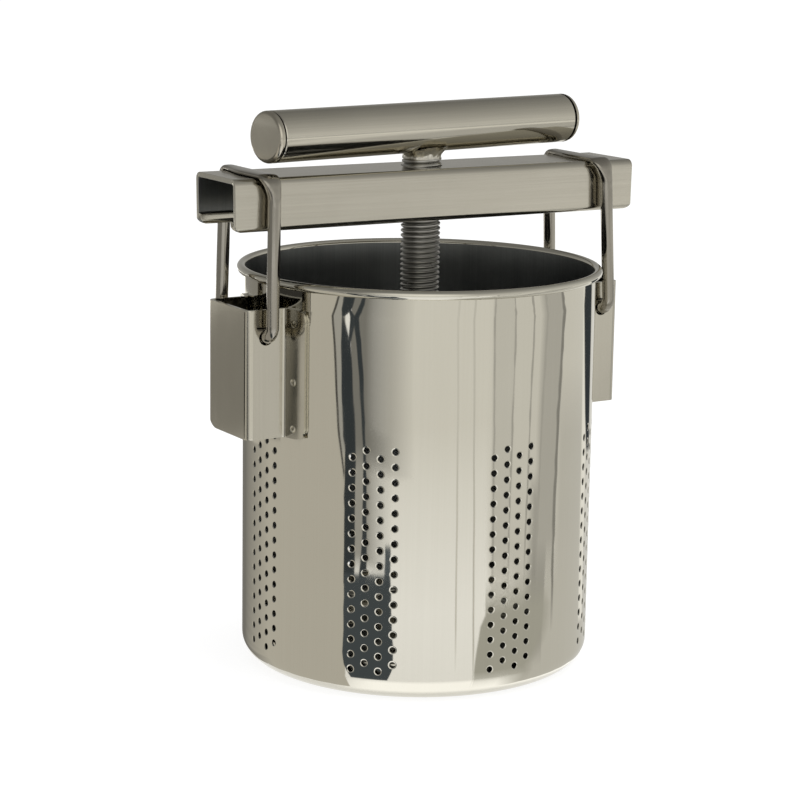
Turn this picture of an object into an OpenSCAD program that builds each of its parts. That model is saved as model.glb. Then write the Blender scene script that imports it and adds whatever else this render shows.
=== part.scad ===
/* [Bucket] */
// Outside diameter of the bucket wall
bucket_d = 142; // [100:1:240]
// Height of the bucket from its base to the top of the rim
bucket_h = 162; // [130:1:260]
// Thickness of the drawn sheet
bucket_sheet = 1; // [0.6:0.1:2]
// Outside radius of the rounded corner between wall and base
bucket_corner_r = 9; // [4:0.5:20]
// Outside radius of the rolled rim in section
rim_roll_r = 1.75; // [1.4:0.05:3]

/* [Drain holes] */
// Bands of holes around the wall
hole_bands = 8; // [4:2:12]
// Columns of holes in one band
hole_columns = 4; // [2:1:6]
// Holes in one column
hole_rows = 15; // [4:1:20]
// Diameter of one hole
hole_d = 2.4; // [1.5:0.1:4.5]
// Height between two holes of a column
hole_pitch = 6.03; // [4:0.01:10]
// Angle between two columns of a band
hole_column_angle = 4.54; // [3:0.01:8]
// Height of the topmost holes above the base
hole_top_z = 99.7; // [60:0.1:140]

/* [Brackets] */
// Width of a bracket's box
bracket_w = 33; // [20:0.5:50]
// Height of a bracket
bracket_h = 50.5; // [30:0.5:80]
// Distance from the bucket's wall to a bracket's outer face
bracket_depth = 16; // [12:0.5:30]
// Depth of a bracket's top edge below the rim
bracket_drop = 10.9; // [6:0.1:40]
// Thickness of a bracket's sheet
bracket_sheet = 1.5; // [1:0.1:3]
// Outside radius of a bracket's bends
bracket_bend_r = 2.6; // [2:0.1:5]
// Width of a flange along the wall, beyond the bracket's side
flange_w = 10; // [6:0.1:20]
// Radius of a flange's free corners
flange_corner_r = 4.5; // [2:0.5:8]
// Radius of the left bracket's lower corner at the rear
bracket_corner_r = 7.4; // [2:0.1:12]
// Diameter of the hole that takes a bail's end
eye_d = 6.2; // [4.6:0.1:8]
// Height of the first, second and third spot weld above a bracket's lower edge
spot_heights = [3.8, 22.2, 45];
// Diameter of a spot weld's mark
spot_d = 3.2; // [2:0.1:5]

/* [Bails] */
// Diameter of the rod
rod_d = 5; // [3:0.1:8]
// Gap between a bail's leg and the side of the beam
bail_side_gap = 1.9; // [1:0.1:10]
// Distance from the bucket's wall to a bail's pivot
pivot_out = 7.7; // [6:0.1:20]
// Depth of a bail's pivot below the rim
pivot_drop = 21.4; // [16:0.1:50]
// Bend radius of the rod on its centre line
rod_bend_r = 4.4; // [4:0.1:10]
// Thickness of the flattened bar that crosses the beam
bar_t = 2.2; // [1.5:0.1:4]
// Width of the flattened bar
bar_w = 8.4; // [4:0.1:10]
// Lean of the left bail towards the bucket's axis
bail_lean_left = 1.3; // [0:0.1:8]
// Lean of the right bail towards the bucket's axis
bail_lean_right = 2.7; // [0:0.1:8]
// Length of a bail's end that shows inside the bracket
bail_end_in = 4; // [1:0.5:10]
// Slack between the bar and the beam with the screw not driven home
bail_slack = 1.7; // [1.6:0.1:4]

/* [Beam] */
// Distance from a bail's pivot to the beam's end
beam_overhang = 13.4; // [8:0.1:40]
// Width of the cross beam
beam_w = 33; // [20:0.5:50]
// Height of the cross beam
beam_h = 20.4; // [14:0.2:40]
// Height of the beam's lower edge above the rim
beam_lift = 19; // [6:0.2:60]
// Thickness of the beam's sheet
beam_sheet = 2; // [1.5:0.1:4]
// Outside radius of the beam's upper bends
beam_bend_r = 2.8; // [2.5:0.1:6]
// Outside radius of the beam's lower bends
beam_foot_r = 2.2; // [1:0.1:6]
// Inward turn of the beam's hemmed lower edges beyond its walls
beam_lip = 2.2; // [0.5:0.1:8]
// Height of the hems along the beam's lower edges
beam_hem = 4.3; // [2.5:0.1:8]
// Radius of the lower corners at the beam's ends
beam_end_r = 3.4; // [1:0.1:6]

/* [Screw and handle] */
// Outside diameter of the screw's thread
screw_d = 16; // [10:1:24]
// Height of the nut
nut_h = 13; // [8:0.5:20]
// Width of the nut across its flats
nut_af = 24; // [18:0.5:32]
// Diameter of the handle
handle_d = 20; // [16:0.5:32]
// Length of the handle over its caps
handle_l = 159; // [100:0.2:220]
// Thickness of the handle's tube
handle_wall = 1.5; // [1:0.1:3]
// Gap between the beam's top and the handle at rest
handle_lift = 5.2; // [4:0.1:40]
// Turn of the handle about the screw at rest
handle_turn = 9.7; // [-90:0.1:90]
// Length of a cap that shows beyond the tube
cap_show = 3.4; // [2:0.1:10]
// Radius of a cap's rounded outer edge
cap_edge_r = 1.6; // [0.4:0.1:1.7]

/* [Press plate] */
// Gap between the plate and the bucket's wall
plate_wall_gap = 1.3; // [0.5:0.1:5]
// Thickness of the plate's sheet
plate_sheet = 2; // [1:0.1:4]
// Height of the plate's turned-up edge
plate_edge_h = 14; // [6:0.5:30]
// Gap between the plate and the bucket's floor at rest
plate_floor_gap = 0.4; // [0.3:0.1:5]
// Diameter of the hub
hub_d = 30; // [22:0.5:50]
// Height of the hub
hub_h = 18; // [10:0.5:40]
// Diameter of a retaining pin
pin_d = 3; // [2:0.1:5]
// Thickness of the thrust washer
washer_t = 1.5; // [1:0.1:4]

/* [Hidden] */
$fn = 96;

polished = [0.74, 0.72, 0.67];
brushed = [0.69, 0.66, 0.59];
dark_steel = [0.36, 0.36, 0.35];
weld_steel = [0.58, 0.56, 0.52];

seat_gap = 0.03;
run_gap = 0.06;
fit_gap = 0.15;
over = 1;
cap_groove = 0.6;
plug_l = 8;
pin_drop = 5;
pin_inset = 4;
beam_crest_r = 0.6;
beam_foot_cavity_r = 0.4;
spot_depth = 0.2;
corner_ease = 0.5;
corner_run = 0.1;
hub_bead_r = 3;
foot_bead_r = 1.2;
neck_bead_r = 2.2;

bucket_r = bucket_d / 2;
bucket_inner_r = bucket_r - bucket_sheet;
rim_roll_x = bucket_inner_r + rim_roll_r;
rim_roll_z = bucket_h - rim_roll_r;
band_angle = 360 / hole_bands;

bracket_top_z = bucket_h - bracket_drop;
bracket_z = bracket_top_z - bracket_h;
bracket_reach = bucket_r + bracket_depth;
flange_r = bucket_r + bracket_sheet;
side_angle = asin(bracket_w / 2 / bucket_r);
flange_angle = side_angle + flange_w / bucket_r * 180 / PI;
flange_y = bucket_r * sin(flange_angle);
spot_angle = (side_angle + flange_angle) / 2;

rod_r = rod_d / 2;
pivot_x = bucket_r + pivot_out;
pivot_z = bucket_h - pivot_drop;
bail_w = max(beam_w, bracket_w) + 2 * bail_side_gap + rod_d;
bail_end_gap = bracket_w - 2 * (bracket_sheet + bail_end_in);

beam_l = 2 * (pivot_x + beam_overhang);
beam_base_z = bucket_h + beam_lift;
beam_top_z = beam_base_z + beam_h;
beam_cavity_w = beam_w - 2 * beam_sheet;
beam_cavity_r = beam_bend_r - beam_sheet;
web_under_z = beam_top_z - beam_sheet;
bail_lean = max(bail_lean_left, bail_lean_right);
bar_z = (beam_top_z + bail_slack + bar_t / 2 - pivot_z) / cos(bail_lean);

nut_top_z = web_under_z - seat_gap;
nut_weld_leg = (beam_cavity_w - nut_af) / 2 - beam_cavity_r - fit_gap;

plate_d = 2 * (bucket_inner_r - plate_wall_gap);
plate_corner_r = bucket_corner_r - bucket_sheet + corner_ease;
plate_z = bucket_sheet + plate_floor_gap;
plate_top_z = plate_z + plate_sheet;
washer_z = plate_top_z + seat_gap;
screw_base_z = washer_z + washer_t + seat_gap;
hub_top_z = plate_top_z + hub_h;
pin_z = hub_top_z - pin_drop;
groove_r = screw_d / 2 - pin_d / 2;
handle_z = beam_top_z + handle_lift + handle_d / 2;
screw_top_z = handle_z - handle_d / 2 - 4 * seat_gap;
screw_r = screw_d / 2;
tube_l = handle_l - 2 * cap_show;

// A round-cornered square in the first quadrant's plane, centred on its first axis.
module soft_strip(width, z0, z1, lower_r, upper_r) {
    translate([-width / 2, z0 + lower_r])
        square([width, z1 - z0 - lower_r - upper_r]);
    translate([-width / 2 + lower_r, z0])
        square([width - 2 * lower_r, lower_r]);
    translate([-width / 2 + upper_r, z1 - upper_r])
        square([width - 2 * upper_r, upper_r]);
    for (side = [-1, 1]) {
        translate([side * (width / 2 - lower_r), z0 + lower_r])
            circle(r = lower_r);
        translate([side * (width / 2 - upper_r), z1 - upper_r])
            circle(r = upper_r);
    }
}

// Half of a round-edged disc's section, from the axis outwards.
module soft_disc_half(radius, z0, z1, edge_r) {
    translate([0, z0])
        square([radius - edge_r, z1 - z0]);
    translate([0, z0 + edge_r])
        square([radius, z1 - z0 - edge_r]);
    intersection() {
        translate([radius - edge_r, z0 + edge_r])
            circle(r = edge_r);
        translate([radius - edge_r, z0])
            square(edge_r);
    }
}

// Half of a drawn cup's section: a flat base, a round corner and a straight wall of one sheet.
module drawn_half(radius, z0, z1, corner_r, sheet) {
    middle = [radius - corner_r, z0 + corner_r];
    translate([0, z0])
        square([middle.x, sheet]);
    translate([radius - sheet, middle.y])
        square([sheet, z1 - middle.y]);
    intersection() {
        translate(middle)
            difference() {
                circle(r = corner_r);
                circle(r = corner_r - sheet);
            }
        translate([middle.x, z0])
            square(corner_r);
    }
}

// Section of the rim: the sheet rolls outwards and down, and stops short of the wall.
module rim_half() {
    difference() {
        translate([rim_roll_x, rim_roll_z])
            circle(r = rim_roll_r);
        translate([rim_roll_x, rim_roll_z])
            circle(r = rim_roll_r - bucket_sheet);
        translate([bucket_r, rim_roll_z - rim_roll_r - over])
            square([rim_roll_r - bucket_sheet, rim_roll_r + over]);
    }
}

// Bands of staggered holes through the wall.
module drain_holes() {
    for (band = [0 : hole_bands - 1], column = [0 : hole_columns - 1], row = [0 : hole_rows - 1]) {
        turn = band * band_angle + (column - (hole_columns - 1) / 2) * hole_column_angle;
        drop = row * hole_pitch + (column % 2 == 0 ? hole_pitch / 2 : 0);
        rotate([0, 0, turn])
            translate([0, -bucket_inner_r + over, hole_top_z - drop])
                rotate([90, 0, 0])
                    cylinder(h = bucket_sheet + 2 * over, d = hole_d, $fn = 24);
    }
}

module bucket() {
    color(polished)
        difference() {
            rotate_extrude() {
                drawn_half(bucket_r, 0, rim_roll_z, bucket_corner_r, bucket_sheet);
                rim_half();
            }
            drain_holes();
        }
}

// Plan of a bracket's box on the +X side, grown inwards by the sheet.
module bracket_box(inset) {
    half = bracket_w / 2 - inset;
    face = bracket_reach - inset;
    bend = bracket_bend_r - inset;
    translate([bucket_r / 2, -half])
        square([face - bend - bucket_r / 2, 2 * half]);
    translate([face - bend - over, bend - half])
        square([bend + over, 2 * (half - bend)]);
    for (side = [-1, 1])
        translate([face - bend, side * (half - bend)])
            circle(r = bend);
}

module bracket_channel() {
    translate([0, 0, bracket_z])
        linear_extrude(bracket_h)
            difference() {
                bracket_box(0);
                bracket_box(bracket_sheet);
                circle(r = bucket_r + seat_gap);
            }
}

// The two flanges follow the wall, and their free corners are round.
module bracket_flanges() {
    intersection() {
        translate([0, 0, bracket_z])
            linear_extrude(bracket_h)
                difference() {
                    circle(r = flange_r);
                    circle(r = bucket_r + seat_gap);
                    translate([0, -bracket_w / 2 + bracket_sheet])
                        square([bracket_reach, bracket_w - 2 * bracket_sheet]);
                }
        rotate([90, 0, 90])
            linear_extrude(bracket_reach)
                soft_strip(2 * flange_y, bracket_z, bracket_top_z, flange_corner_r, flange_corner_r);
    }
}

module spot_marks() {
    for (side = [-1, 1], height = spot_heights)
        rotate([0, 0, side * spot_angle])
            translate([flange_r - spot_depth, 0, bracket_z + height])
                rotate([0, 90, 0])
                    difference() {
                        cylinder(h = over, d = spot_d, $fn = 32);
                        cylinder(h = spot_depth / 2, d = spot_d / 2, $fn = 32);
                    }
}

module bracket() {
    color(brushed)
        difference() {
            union() {
                bracket_channel();
                bracket_flanges();
            }
            translate([pivot_x, 0, pivot_z - (eye_d - rod_d) / 2 + 2 * fit_gap])
                rotate([90, 0, 0])
                    cylinder(h = bracket_w + over, d = eye_d, center = true);
            spot_marks();
        }
}

// The area below the arc that rounds a lower corner, with the corner at the given place.
module corner_area(edge) {
    difference() {
        translate([edge - bracket_corner_r, bracket_z - over])
            square([bracket_corner_r + over, bracket_corner_r + over]);
        translate([edge - bracket_corner_r + corner_run, bracket_z + bracket_corner_r - corner_run])
            circle(r = bracket_corner_r);
    }
}

// The steel that the left bracket lacks at its lower corner at the rear.
module rear_corner() {
    intersection() {
        rotate([90, 0, 90])
            linear_extrude(bracket_reach + over)
                corner_area(bracket_w / 2);
        translate([0, bracket_w / 2 + over, 0])
            rotate([90, 0, 0])
                linear_extrude(bracket_w)
                    corner_area(bracket_reach);
    }
}

module bracket_right() {
    bracket();
}

module bracket_left() {
    color(brushed)
        mirror([1, 0, 0])
            difference() {
                bracket();
                rear_corner();
            }
}

// A quarter turn of the rod from its end along Y up into a leg along Z.
module rod_bend() {
    translate([0, -rod_bend_r, rod_bend_r])
        rotate([0, 90, 0])
            rotate_extrude(angle = 90)
                translate([rod_bend_r, 0])
                    circle(r = rod_r, $fn = 48);
}

// Half of a bail in its own upright frame, with the pivot on the Y axis.
module bail_half() {
    leg_y = bail_w / 2;
    straight = leg_y - rod_bend_r;
    translate([0, bail_end_gap / 2, 0])
        rotate([-90, 0, 0])
            cylinder(h = straight - bail_end_gap / 2, r = rod_r, $fn = 48);
    translate([0, leg_y, 0])
        rod_bend();
    translate([0, leg_y, rod_bend_r])
        cylinder(h = bar_z - 2 * rod_bend_r, r = rod_r, $fn = 48);
    intersection() {
        translate([0, leg_y, bar_z])
            mirror([0, 0, 1])
                rod_bend();
        translate([-rod_d, 0, bar_z - bail_w])
            cube([2 * rod_d, bail_w, bail_w + bar_t / 2]);
    }
}

// The bar is hammered flat, with round ends that run out into the bends.
module bail_bar() {
    reach = bail_w / 2 - rod_bend_r;
    translate([0, 0, bar_z - bar_t / 2])
        linear_extrude(bar_t) {
            square([bar_w, 2 * reach - bar_w + 2 * rod_r], center = true);
            for (side = [-1, 1])
                translate([0, side * (reach - bar_w / 2 + rod_r)])
                    circle(d = bar_w);
        }
}

module bail(lean) {
    color(brushed)
        translate([pivot_x, 0, pivot_z])
            rotate([0, -lean, 0]) {
                bail_half();
                mirror([0, 1, 0])
                    bail_half();
                bail_bar();
            }
}

module bail_right() {
    bail(bail_lean_right);
}

module bail_left() {
    mirror([1, 0, 0])
        bail(bail_lean_left);
}

// Section of the beam: an upside-down channel whose lower edges turn inwards.
module beam_section() {
    difference() {
        soft_strip(beam_w, beam_base_z, beam_top_z, beam_foot_r, beam_bend_r);
        soft_strip(beam_cavity_w, beam_base_z + beam_hem, web_under_z, beam_foot_cavity_r, beam_cavity_r);
        translate([beam_lip - beam_cavity_w / 2, beam_base_z - over])
            square([beam_cavity_w - 2 * beam_lip, beam_h / 2]);
    }
}

module beam() {
    color(brushed)
        difference() {
            intersection() {
                translate([-beam_l / 2, 0, 0])
                    rotate([90, 0, 90])
                        linear_extrude(beam_l)
                            beam_section();
                translate([0, beam_w / 2 + over, 0])
                    rotate([90, 0, 0])
                        linear_extrude(beam_w + 2 * over)
                            soft_strip(beam_l, beam_base_z, beam_top_z, beam_end_r, beam_crest_r);
            }
            translate([0, 0, beam_base_z])
                cylinder(h = beam_h + over, r = screw_r + 2 * fit_gap);
        }
}

module beam_nut() {
    color(dark_steel)
        translate([0, 0, nut_top_z - nut_h])
            difference() {
                cylinder(h = nut_h, d = nut_af / cos(30), $fn = 6);
                translate([0, 0, -over])
                    cylinder(h = nut_h + 2 * over, r = screw_r + run_gap);
            }
}

// Two beads run along the nut's front and back flats, under the web.
module nut_welds() {
    color(weld_steel)
        for (side = [-1, 1])
            intersection() {
                translate([0, side * (nut_af / 2 + seat_gap), nut_top_z])
                    rotate([0, 90, 0])
                        cylinder(h = nut_af / 2, r = nut_weld_leg, center = true, $fn = 48);
                translate([0, side * (nut_af / 2 + seat_gap + nut_af / 2), nut_top_z - nut_af / 2])
                    cube(nut_af, center = true);
            }
}

// Stands in the nut at the thread's outside diameter, with a groove for the pins at its foot.
module screw() {
    color(dark_steel)
        translate([0, 0, screw_base_z])
            difference() {
                union() {
                    cylinder(h = over, r1 = screw_r - over, r2 = screw_r);
                    translate([0, 0, over])
                        cylinder(h = screw_top_z - screw_base_z - over, r = screw_r);
                }
                translate([0, 0, pin_z - screw_base_z - pin_d / 2 - fit_gap])
                    difference() {
                        cylinder(h = pin_d + 2 * fit_gap, r = screw_r + over);
                        cylinder(h = pin_d + 2 * fit_gap, r = groove_r - fit_gap);
                    }
            }
}

module on_handle() {
    translate([0, 0, handle_z])
        rotate([0, 0, handle_turn])
            rotate([0, 90, 0])
                children();
}

// The bead wraps the screw's end and climbs the underside of the tube.
module handle_weld() {
    color(weld_steel)
        difference() {
            rotate_extrude() {
                translate([screw_r + foot_bead_r / 4, screw_top_z - foot_bead_r * 2 / 3])
                    circle(r = foot_bead_r, $fn = 32);
                translate([screw_r - neck_bead_r / 2, screw_top_z + neck_bead_r / 4])
                    circle(r = neck_bead_r, $fn = 32);
            }
            translate([0, 0, screw_top_z - screw_d])
                cylinder(h = screw_d + seat_gap, r = screw_r + seat_gap);
            on_handle()
                cylinder(h = handle_l, d = handle_d + 2 * seat_gap, center = true);
        }
}

module handle_tube() {
    color(brushed)
        on_handle()
            difference() {
                cylinder(h = tube_l, d = handle_d, center = true);
                cylinder(h = handle_l, d = handle_d - 2 * handle_wall, center = true);
            }
}

// A cap with a rounded edge, and a plug that sits in the tube behind a narrow groove.
module handle_cap() {
    plug_r = handle_d / 2 - handle_wall - run_gap;
    on_handle() {
        translate([0, 0, handle_l / 2])
            mirror([0, 0, 1])
                rotate_extrude()
                    soft_disc_half(handle_d / 2, 0, cap_show - cap_groove, cap_edge_r);
        translate([0, 0, tube_l / 2 - plug_l])
            cylinder(h = plug_l + cap_groove + over, r = plug_r);
    }
}

module handle_cap_right() {
    color(brushed)
        handle_cap();
}

module handle_cap_left() {
    color(brushed)
        rotate([0, 0, 180])
            handle_cap();
}

module press_plate() {
    color(polished)
        rotate_extrude()
            drawn_half(plate_d / 2, plate_z, plate_z + plate_edge_h, plate_corner_r, plate_sheet);
}

module plate_hub() {
    color(brushed)
        difference() {
            translate([0, 0, plate_top_z + seat_gap])
                cylinder(h = hub_h - seat_gap, d = hub_d);
            translate([0, 0, plate_top_z])
                cylinder(h = hub_h + over, r = screw_r + run_gap);
            for (side = [-1, 1])
                translate([0, side * screw_r, pin_z])
                    rotate([0, 90, 0])
                        cylinder(h = hub_d + over, d = pin_d + 2 * seat_gap, center = true, $fn = 48);
        }
}

// A fillet bead around the hub's foot.
module hub_weld() {
    color(weld_steel)
        rotate_extrude()
            translate([hub_d / 2 + seat_gap, plate_top_z + seat_gap])
                intersection() {
                    circle(r = hub_bead_r, $fn = 48);
                    square(hub_bead_r);
                }
}

// Two pins cross the hub beside the screw and run in its groove.
module retaining_pins() {
    color(dark_steel)
        for (side = [-1, 1])
            translate([0, side * screw_r, pin_z])
                rotate([0, 90, 0])
                    cylinder(h = hub_d - 2 * pin_inset, d = pin_d, center = true, $fn = 48);
}

module thrust_washer() {
    color(dark_steel)
        translate([0, 0, washer_z])
            cylinder(h = washer_t, r = screw_r - fit_gap);
}

bucket();
bracket_left();
bracket_right();
bail_left();
bail_right();
beam();
beam_nut();
nut_welds();
screw();
handle_weld();
handle_tube();
handle_cap_left();
handle_cap_right();
press_plate();
plate_hub();
hub_weld();
retaining_pins();
thrust_washer();
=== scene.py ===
"""A steel vegetable press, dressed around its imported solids.

A perforated bucket carries two brackets. Two bails hang in them and hold down a cross beam, and a screw
with a T-handle runs through the beam and drives a plate down the bucket. Sizes are in millimetres here, and
each finished mesh is scaled to metres when it is handed over.
"""
import logging
import math
from dataclasses import dataclass, field
from enum import Enum
from typing import Callable, Optional, Sequence

import bmesh
import bpy
from bmesh.types import BMEdge, BMesh, BMVert
from mathutils import Matrix, Vector, noise


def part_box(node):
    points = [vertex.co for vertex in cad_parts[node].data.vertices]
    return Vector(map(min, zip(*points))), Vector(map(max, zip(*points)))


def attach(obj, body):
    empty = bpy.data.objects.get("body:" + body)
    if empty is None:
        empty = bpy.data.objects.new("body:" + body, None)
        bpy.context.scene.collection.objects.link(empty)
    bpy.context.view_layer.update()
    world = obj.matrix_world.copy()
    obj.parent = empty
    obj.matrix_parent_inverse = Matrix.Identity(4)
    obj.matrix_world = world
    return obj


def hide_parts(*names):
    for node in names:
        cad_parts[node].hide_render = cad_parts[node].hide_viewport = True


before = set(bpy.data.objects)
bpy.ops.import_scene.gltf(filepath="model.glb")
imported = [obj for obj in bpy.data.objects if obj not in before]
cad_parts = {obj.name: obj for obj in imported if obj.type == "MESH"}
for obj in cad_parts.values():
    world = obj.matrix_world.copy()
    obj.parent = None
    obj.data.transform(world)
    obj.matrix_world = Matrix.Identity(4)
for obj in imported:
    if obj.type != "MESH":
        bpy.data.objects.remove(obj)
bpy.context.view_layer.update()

LOG = logging.getLogger("press")
MM = 0.001
MERGE = 0.002
Pair = tuple[float, float]
Triple = tuple[float, float, float]
Rgb = Triple
Place = Callable[[Vector], Vector]


def cad_box(node: str) -> tuple[Vector, Vector]:
    """Gives the lowest and highest corner of a solid.

    Args:
        node: Name of the solid.

    Returns:
        The two corners in millimetres.
    """
    low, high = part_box(node)
    return low / MM, high / MM


def smooth_step(value: float) -> float:
    """Eases a value from 0 to 1, and holds it there outside that range."""
    held = min(1.0, max(0.0, value))
    return held * held * (3.0 - 2.0 * held)


class Side(Enum):
    """The side of the press on which a piece sits."""

    LEFT = -1
    RIGHT = 1


class Grain(Enum):
    """Direction of the drawn lines in a surface, as repeats per metre along X, Y and Z."""

    ALONG_BEAM = (18.0, 1500.0, 1900.0)
    UPRIGHT = (1500.0, 1500.0, 14.0)
    AROUND = (60.0, 60.0, 2400.0)
    NONE = (260.0, 260.0, 260.0)


class NodeBench:
    """Adds nodes to a node tree and joins them."""

    def __init__(self, tree: bpy.types.NodeTree) -> None:
        """Keeps the tree and empties it."""
        self.tree = tree
        tree.nodes.clear()

    def add(self, kind: str, inputs: Optional[dict] = None, **settings) -> bpy.types.Node:
        """Adds one node.

        Args:
            kind: The node's type name.
            inputs: Values, or output sockets to join, by the name or number of the input.
            settings: Properties of the node.

        Returns:
            The node.
        """
        node = self.tree.nodes.new(kind)
        for name, value in settings.items():
            setattr(node, name, value)
        for name, value in (inputs or {}).items():
            if isinstance(value, bpy.types.NodeSocket):
                self.tree.links.new(value, node.inputs[name])
            else:
                node.inputs[name].default_value = value
        return node

    def math(self, operation: str, first, second=0.0) -> bpy.types.NodeSocket:
        """Adds a Math node and gives its output."""
        return self.add("ShaderNodeMath", {0: first, 1: second}, operation=operation).outputs[0]

    def ramp(self, value, low: float, high: float, start=0.0, end=1.0) -> bpy.types.NodeSocket:
        """Maps a value from one range to another and gives the output."""
        inputs = {0: value, 1: low, 2: high, 3: start, 4: end}
        return self.add("ShaderNodeMapRange", inputs).outputs[0]

    def blend(self, share, first, second) -> bpy.types.NodeSocket:
        """Mixes two colours and gives the output."""
        return self.add("ShaderNodeMix", {0: share, 6: first, 7: second}, data_type="RGBA").outputs[2]

    def noise(self, place, scale: float, detail: float = 2.0) -> bpy.types.NodeSocket:
        """Adds a noise texture and gives its value."""
        inputs = {"Vector": place, "Scale": scale, "Detail": detail}
        return self.add("ShaderNodeTexNoise", inputs).outputs[0]


def shared_group(name: str, inputs: dict[str, str], outputs: dict[str, str]) -> tuple:
    """Makes an empty shader node group with named sockets.

    Args:
        name: Name of the group.
        inputs: Socket types by name.
        outputs: Socket types by name.

    Returns:
        The group, its bench, its input node and its output node.
    """
    group = bpy.data.node_groups.new(name, "ShaderNodeTree")
    for direction, sockets in (("INPUT", inputs), ("OUTPUT", outputs)):
        for label, kind in sockets.items():
            group.interface.new_socket(name=label, in_out=direction, socket_type="NodeSocket" + kind)
    bench = NodeBench(group)
    return group, bench, bench.add("NodeGroupInput"), bench.add("NodeGroupOutput")


def make_drawn_lines() -> bpy.types.NodeTree:
    """Makes the group for the fine lines that drawing, brushing or polishing leaves in steel.

    Returns:
        The group. Lines is a mask of the lines, and Clouds a mask of broad soft patches.
    """
    group, bench, source, sink = shared_group(
        "drawn_lines", {"Line Place": "Vector", "Cloud Place": "Vector"},
        {"Lines": "Float", "Clouds": "Float"})
    broad_scale, broad_share, cloud_scale = 0.23, 0.4, 34.0
    contrast = (0.3, 0.7)
    fine = bench.noise(source.outputs["Line Place"], 1.0, 3.0)
    broad = bench.noise(source.outputs["Line Place"], broad_scale)
    lines = bench.add("ShaderNodeMix", {0: broad_share, 2: fine, 3: broad}).outputs[0]
    clouds = bench.noise(source.outputs["Cloud Place"], cloud_scale, 4.0)
    bench.tree.links.new(bench.ramp(lines, *contrast), sink.inputs["Lines"])
    bench.tree.links.new(bench.ramp(clouds, *contrast), sink.inputs["Clouds"])
    return group


def make_hand_marks() -> bpy.types.NodeTree:
    """Makes the group for short scratches and faint smudges from use.

    Returns:
        The group. Scratches is a mask of thin marks, and Smudges a mask of faint patches.
    """
    group, bench, source, sink = shared_group(
        "hand_marks", {"Place": "Vector"}, {"Scratches": "Float", "Smudges": "Float"})
    place = source.outputs["Place"]
    stretch, warp_size = (420.0, 260.0, 70.0), 9.0
    cell_scale, mark_width = 0.35, 0.018
    warp = bench.noise(place, 55.0)
    lifted = bench.add("ShaderNodeVectorMath", {0: place, 1: stretch}, operation="MULTIPLY").outputs[0]
    bend = bench.math("MULTIPLY", warp, warp_size)
    moved = bench.add("ShaderNodeVectorMath", {0: lifted, 1: bend}, operation="ADD").outputs[0]
    cells = bench.add("ShaderNodeTexVoronoi", {"Vector": moved, "Scale": cell_scale},
                      feature="DISTANCE_TO_EDGE").outputs[0]
    thin = bench.ramp(cells, 0.0, mark_width, 1.0, 0.0)
    sparse = bench.ramp(warp, 0.52, 0.62)
    smudges = bench.noise(place, 90.0, 5.0)
    bench.tree.links.new(bench.math("MULTIPLY", thin, sparse), sink.inputs["Scratches"])
    bench.tree.links.new(bench.ramp(smudges, 0.45, 0.75), sink.inputs["Smudges"])
    return group


HEAT = "heat"
CLOUD_SHARE = 0.35
WEAR_SHARE = 0.5
BURNT_ROUGHNESS = 0.5


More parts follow.
